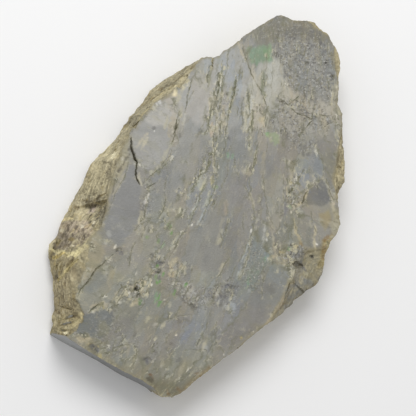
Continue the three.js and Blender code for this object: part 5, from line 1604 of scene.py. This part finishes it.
def facet_cells(width, length, **settings):
    """Voronoi cells that lie along the grain, with slightly bent edges."""
    bend = node(shade, NOISE, coordinates["place"], give=1, named={"Scale": 0.5, "Detail": 2.0})
    size = (1 / width, 1 / length, 0.0)
    scaled = node(shade, VECTOR, coordinates["grain"], size, operation="MULTIPLY")
    bent = node(shade, VECTOR, bend, FACET_BEND, scaled, operation="MULTIPLY_ADD")
    return node(shade, CELLS, bent, named={"Scale": 1.0}, **settings)


for width, length, spread in FACETS:
    lot = node(shade, "ShaderNodeSeparateColor", facet_cells(width, length, give=1))
    lighter = node(shade, RANGE, lot, 0.0, 1.0, -spread, spread)
    warmer = node(shade, RANGE, lot.node.outputs[1], 0.0, 1.0, FACET_COOLEST, FACET_WARMEST)
    cooler = node(shade, MATH, warmer, BLUE_SWING, operation="MULTIPLY")
    change = node(shade, "ShaderNodeCombineXYZ", warmer, 0.0, cooler)
    change = node(shade, VECTOR, change, lighter)
    change = node(shade, VECTOR, change, operation="SCALE", named={3: share["busy"]})
    change = node(shade, VECTOR, change, (1.0, 1.0, 1.0))
    face_colour = node(shade, VECTOR, face_colour, change, operation="MULTIPLY")
# Where two facets meet, a fine seam shows here and there, and the stone beside it crumbled.
to_edge = facet_cells(*FACETS[0][:2], feature="DISTANCE_TO_EDGE")
at_edges = []
for start, end, patches in ((0.0, 0.05, (3.0, 0.44, 0.6, 0.8)), (0.04, 0.2, (4.0, 0.5, 0.62, 0.75))):
    amount = node(shade, RANGE, to_edge, start, end, 1.0, 0.0)
    for factor in (patchy(*patches), share["busy"]):
        amount = node(shade, MATH, amount, factor, operation="MULTIPLY")
    at_edges.append(amount)
facet_seam, beside = at_edges
share["crumbled"] = node(shade, MATH, share["crumbled"], beside, operation="MAXIMUM")
print(len(shade.nodes), "nodes with the facets")

# %% Scatter broken grains over the rough patches
# Broken grains, as specks with firm edges, each of one colour. Each kind: where it shows,
# its coordinates, the size of a grain in mm, and its colours with the share that each has.
SPECK_KINDS = [
    ("rough", "place", (0.42, 0.42), (
        ("#66635d", 0.11), ("#777670", 0.18), ("#a2a19b", 0.16), ("#948f7d", 0.13), ("#b4b2aa", 0.02),
    )),
    ("crumbled", "grain", (0.5, 1.35), (
        ("#5d5c45", 0.09), ("#737257", 0.16), ("#b9b398", 0.19), ("#a6a594", 0.12), ("#cdc9b8", 0.03),
    )),
]
steps = []
for where, which, (across, along), colours in SPECK_KINDS:
    wobble = node(shade, NOISE, coordinates["place"], give=1, named={"Scale": 1.6, "Detail": 1.0})
    scaled = node(
        shade, VECTOR, coordinates[which], (1 / across, 1 / along, 1 / across), operation="MULTIPLY"
    )
    bent = node(shade, VECTOR, wobble, (1.4,) * 3, scaled, operation="MULTIPLY_ADD")
    cell = node(shade, CELLS, bent, give=1, named={"Scale": 1.0})
    lot = node(shade, "ShaderNodeSeparateColor", cell)
    ramp = shade.nodes.new("ShaderNodeValToRGB")
    ramp.color_ramp.interpolation = "CONSTANT"
    stop = 0.0
    for code, part in colours:
        stone_speck = ramp.color_ramp.elements.new(stop) if stop else ramp.color_ramp.elements[0]
        stone_speck.color = (*linear(code), 1.0)
        stop += part
    rest = ramp.color_ramp.elements.new(stop)
    rest.color = (*linear(colours[0][0]), 0.0)
    shade.links.new(lot, ramp.inputs[0])
    patch = patchy(1.7, 0.36, 0.56, 1.0)
    amount = node(shade, MATH, share[where], patch, operation="MULTIPLY")
    steps.append(node(shade, MATH, lot.node.outputs[1], amount, operation="MULTIPLY"))
    amount = node(shade, MATH, amount, ramp.outputs[1], operation="MULTIPLY")
    named = {0: amount, 6: face_colour, 7: ramp.outputs[0]}
    face_colour = node(shade, MIX, named=named, give=2, data_type="RGBA")
print(len(shade.nodes), "nodes with the specks")

# %% Put clay and dirt in the cracks, the pits and the worn rim, and painted shade in the pits
DIRT, SEAM_SHADE, LIP_CLAY, PIT_SHADE = "#4f4a3a", "#6c6b55", "#b9b39d", "#74716a"
LIP_OLIVE, HOLLOW_SHADE, RIM_STAIN = "#82806a", "#4b483f", "#877e5e"
PIT_STRENGTH, HOLLOW_STRENGTH = 0.7, 0.7

for code, most, start, full in ((LIP_OLIVE, 0.5, 0.5, 0.34), (LIP_CLAY, 0.6, 0.53, 0.68)):
    face_colour = over(face_colour, code, share["lip"], patchy(1.1, start, full, most))
face_colour = over(face_colour, PIT_SHADE, share["pit"], PIT_STRENGTH)
worn_edge = node(shade, RANGE, share["rim_depth"], 0.1 * MM, 1.0 * MM, 0.75, 0.0)
face_colour = over(face_colour, RIM_STAIN, worn_edge, patchy(2.2, 0.36, 0.6, 1.0))
line = node(shade, RANGE, share["crack"], 0.0, 0.5, 0.0, 1.0)
seam = node(shade, MATH, line, patchy(1.6, 0.38, 0.62, 0.85), operation="MULTIPLY")
seam_share = node(shade, RANGE, share["crumbled"], 0.0, 0.5, 0.7, 1.0)
seam = node(shade, MATH, seam, seam_share, operation="MULTIPLY")
seam = node(shade, MATH, seam, facet_seam, operation="MAXIMUM")
face_colour = over(face_colour, SEAM_SHADE, seam)
openness = node(shade, RANGE, share["crack_depth"], 0.25 * MM, 1.1 * MM, 0.0, 0.95)
face_colour = over(face_colour, DIRT, line, openness)
# Painted shade, with some dirt, in the deep pits.
face_colour = over(face_colour, HOLLOW_SHADE, share["hollow"], HOLLOW_STRENGTH)
print(len(shade.nodes), "nodes with the dirt")

# %% Finish of the weathered rind
DEEP_DIRT, WORN_CLAY, RUST = "#4a412c", "#cfc49f", "#a08a4a"
# Tints of the rind, with the same columns as the tints along the grain.
RIND_TINTS = [
    (DEEP_DIRT, 0.6, 6.0, 0.58, 0.68, 0.55),
    (WORN_CLAY, 0.5, 5.0, 0.58, 0.68, 0.60),
    (RUST, 1.5, 2.0, 0.56, 0.70, 0.40),
]
rind_colour = layered(tone_of, RIND_LAYERS)
for code, width, stretch, start, full, most in RIND_TINTS:
    rind_colour = over(rind_colour, code, patchy(width, start, full, most, stretch))
hollow = node(shade, RANGE, share["relief"], -0.08, -0.34, 0.0, 0.66)
rind_colour = over(rind_colour, DEEP_DIRT, hollow)
crest = node(shade, RANGE, share["relief"], 0.04, 0.30, 0.0, 0.66)
rind_colour = over(rind_colour, WORN_CLAY, crest)
print(len(RIND_TINTS), "tints on the rind, dirt in its hollows and clay on its crests")

# %% [markdown]
# The sawn end and the underside are grey, with faint arcs left by a large round blade. An
# arc is a line of equal distance from the blade's axle, so noise that is read along that
# distance draws them.

# %% Finish of the sawn end and the underside
SAWN_GREY = "#797a79"
BLADE_STEP = 0.55
# The two cuts, of the end and of the underside: coordinates, and where the axle was.
SAW_CUTS = [("grain", (150.0, 150.0, 0.0)), ("place", (-180.0, 60.0, 0.0))]
# The sawn end is painted paler at its left corner, a painted light: from and to in mm, and how light it
# is there.
PAINTED_LIGHT_CORNER = (-25.0, -14.0, 1.6, 0.95)
arcs = []
for which, axle in SAW_CUTS:
    reach = node(shade, VECTOR, coordinates[which], axle, give=1, operation="DISTANCE")
    inputs = {"W": reach, "Scale": 1 / BLADE_STEP, "Detail": 2.0}
    arcs.append(node(shade, NOISE, named=inputs, noise_dimensions="1D"))
arc = node(shade, MIX, share["under"], named={2: arcs[0], 3: arcs[1]})
arc_shade = node(shade, RANGE, arc, 0.3, 0.7, 0.9, 1.1)
sawn_colour = layered((*linear(SAWN_GREY),), FACE_LAYERS[2:])
spot = node(shade, "ShaderNodeSeparateXYZ", coordinates["place"])
corner_painted_light = node(shade, RANGE, spot, *PAINTED_LIGHT_CORNER)
for factor in (arc_shade, corner_painted_light):
    sawn_colour = node(shade, VECTOR, sawn_colour, operation="SCALE", named={3: factor})
print(len(arcs), "sets of blade arcs, one line every", BLADE_STEP, "mm")

# %% Join the finishes in one shader
FELDSPAR_IOR, LAPPED, WEATHERED = 1.56, 0.5, 0.85
BUMP_SIZE, BUMP_HEIGHT = 0.35, 0.12
flat_cut = node(shade, MATH, share["sawn"], share["under"], operation="MAXIMUM")
colour = face_colour
for amount, finish in ((share["rind"], rind_colour), (flat_cut, sawn_colour)):
    colour = node(shade, MIX, named={0: amount, 6: colour, 7: finish}, give=2, data_type="RGBA")
inputs = {"Vector": coordinates["place"], "Scale": 1 / BUMP_SIZE, "Detail": 3.0}
surface = node(shade, NOISE, named=inputs)
for step in steps:
    surface = node(shade, MATH, step, 1.1, surface, operation="MULTIPLY_ADD")
bump = node(shade, "ShaderNodeBump", named={"Strength": 0.8, "Height": surface})
bump.node.inputs["Distance"].default_value = BUMP_HEIGHT * MM
rough = node(shade, RANGE, share["rind"], 0.0, 1.0, LAPPED, WEATHERED)
named = {"Base Color": colour, "Roughness": rough, "IOR": FELDSPAR_IOR, "Normal": bump}
skin = node(shade, "ShaderNodeBsdfPrincipled", named=named)
shade.links.new(skin, shade.nodes.new("ShaderNodeOutputMaterial").inputs["Surface"])
for face in slab.data.polygons:
    face.use_smooth = False
print("material with", len(shade.nodes), "nodes on", len(slab.data.polygons), "faces")

# %% [markdown]
# ## Floor, light and camera
# The slice lies on a plain pale floor. A large lamp above its far left side and a pale sky
# all around give soft light, with a short soft shadow on the near right. The camera is a
# long lens that looks down steeply, turned a little about its axis.

# %% Lay the floor
FLOOR = 3.0
floor_mesh = bpy.data.meshes.new("floor")
corners = [(x * FLOOR, y * FLOOR, 0) for x, y in ((-1, -1), (1, -1), (1, 1), (-1, 1))]
floor_mesh.from_pydata(corners, [], [(0, 1, 2, 3)])
floor = bpy.data.objects.new("floor", floor_mesh)
bpy.context.scene.collection.objects.link(floor)
paper = bpy.data.materials.new("white_paper")
paper.use_nodes = True
matt = paper.node_tree.nodes["Principled BSDF"]
matt.inputs["Base Color"].default_value = (*linear("#f2f2f2"), 1.0)
matt.inputs["Roughness"].default_value = 0.9
floor_mesh.materials.append(paper)
print(f"a floor of {2 * FLOOR:.0f} x {2 * FLOOR:.0f} m")

# %% Hang the lamp and set the sky
KEY_WATTS, KEY_SIZE, SKY = 2.0, 0.42, 0.585
KEY_PLACE = (-0.13, 0.31, 0.50)
key = bpy.data.lights.new("softbox", "AREA")
key.shape = "DISK"
key.size = KEY_SIZE
key.energy = KEY_WATTS
key_light = bpy.data.objects.new("softbox", key)
key_light.location = KEY_PLACE
key_light.rotation_euler = (-key_light.location).to_track_quat("-Z", "Y").to_euler()
bpy.context.scene.collection.objects.link(key_light)
sky = bpy.data.worlds.new("pale_room")
sky.use_nodes = True
backing = sky.node_tree.nodes["Background"]
backing.inputs["Color"].default_value = (1.0, 1.0, 1.0, 1.0)
backing.inputs["Strength"].default_value = SKY
bpy.context.scene.world = sky
bpy.context.scene.view_settings.view_transform = "Standard"
print(f"a lamp {KEY_SIZE:.2f} m wide at {key_light.location.length:.2f} m from the slice")

# %% Set up the camera
AIM = Vector((0.7, -4.2, FACE)) * MM
TOWARDS_CAMERA = Vector((-0.10370, -0.25299, 0.96189))
ROLL = math.radians(17)
DISTANCE, VIEW_WIDTH, SENSOR = 0.6, 0.1188, 36.0
lens = bpy.data.cameras.new("camera")
lens.sensor_width = SENSOR
lens.lens = SENSOR * DISTANCE / VIEW_WIDTH
lens.clip_end = 10.0
camera = bpy.data.objects.new("camera", lens)
up = Vector((-math.sin(ROLL), math.cos(ROLL), 0))
side = up.cross(TOWARDS_CAMERA).normalized()
up = TOWARDS_CAMERA.cross(side).normalized()
turned = Matrix((side, up, TOWARDS_CAMERA.normalized())).transposed().to_4x4()
camera.matrix_world = Matrix.Translation(AIM + TOWARDS_CAMERA * DISTANCE) @ turned
bpy.context.scene.collection.objects.link(camera)
bpy.context.scene.camera = camera
print(f"a lens of {lens.lens:.0f} mm at {DISTANCE} m")

# %% [markdown]
# ## Putting the slice in place
# The skin rides on the one body and stands for the imported rock, which is hidden. The helper
# lines aren't part of the stone, so they go. The two boxes, of the imported rock and of the
# finished scene, are printed in millimetres.

# %% Finish the scene
bpy.data.objects.remove(crack_lines)
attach(slab, "root")
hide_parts("labradorite_slice")
floor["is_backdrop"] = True
boxes = {"cad": cad_box, "visual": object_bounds()}
sizes = {name: [list(corner) for corner in box] for name, box in boxes.items()}
for name, (lowest, highest) in sizes.items():
    print(name, [round((b - a) / MM, 2) for a, b in zip(lowest, highest)], "mm")
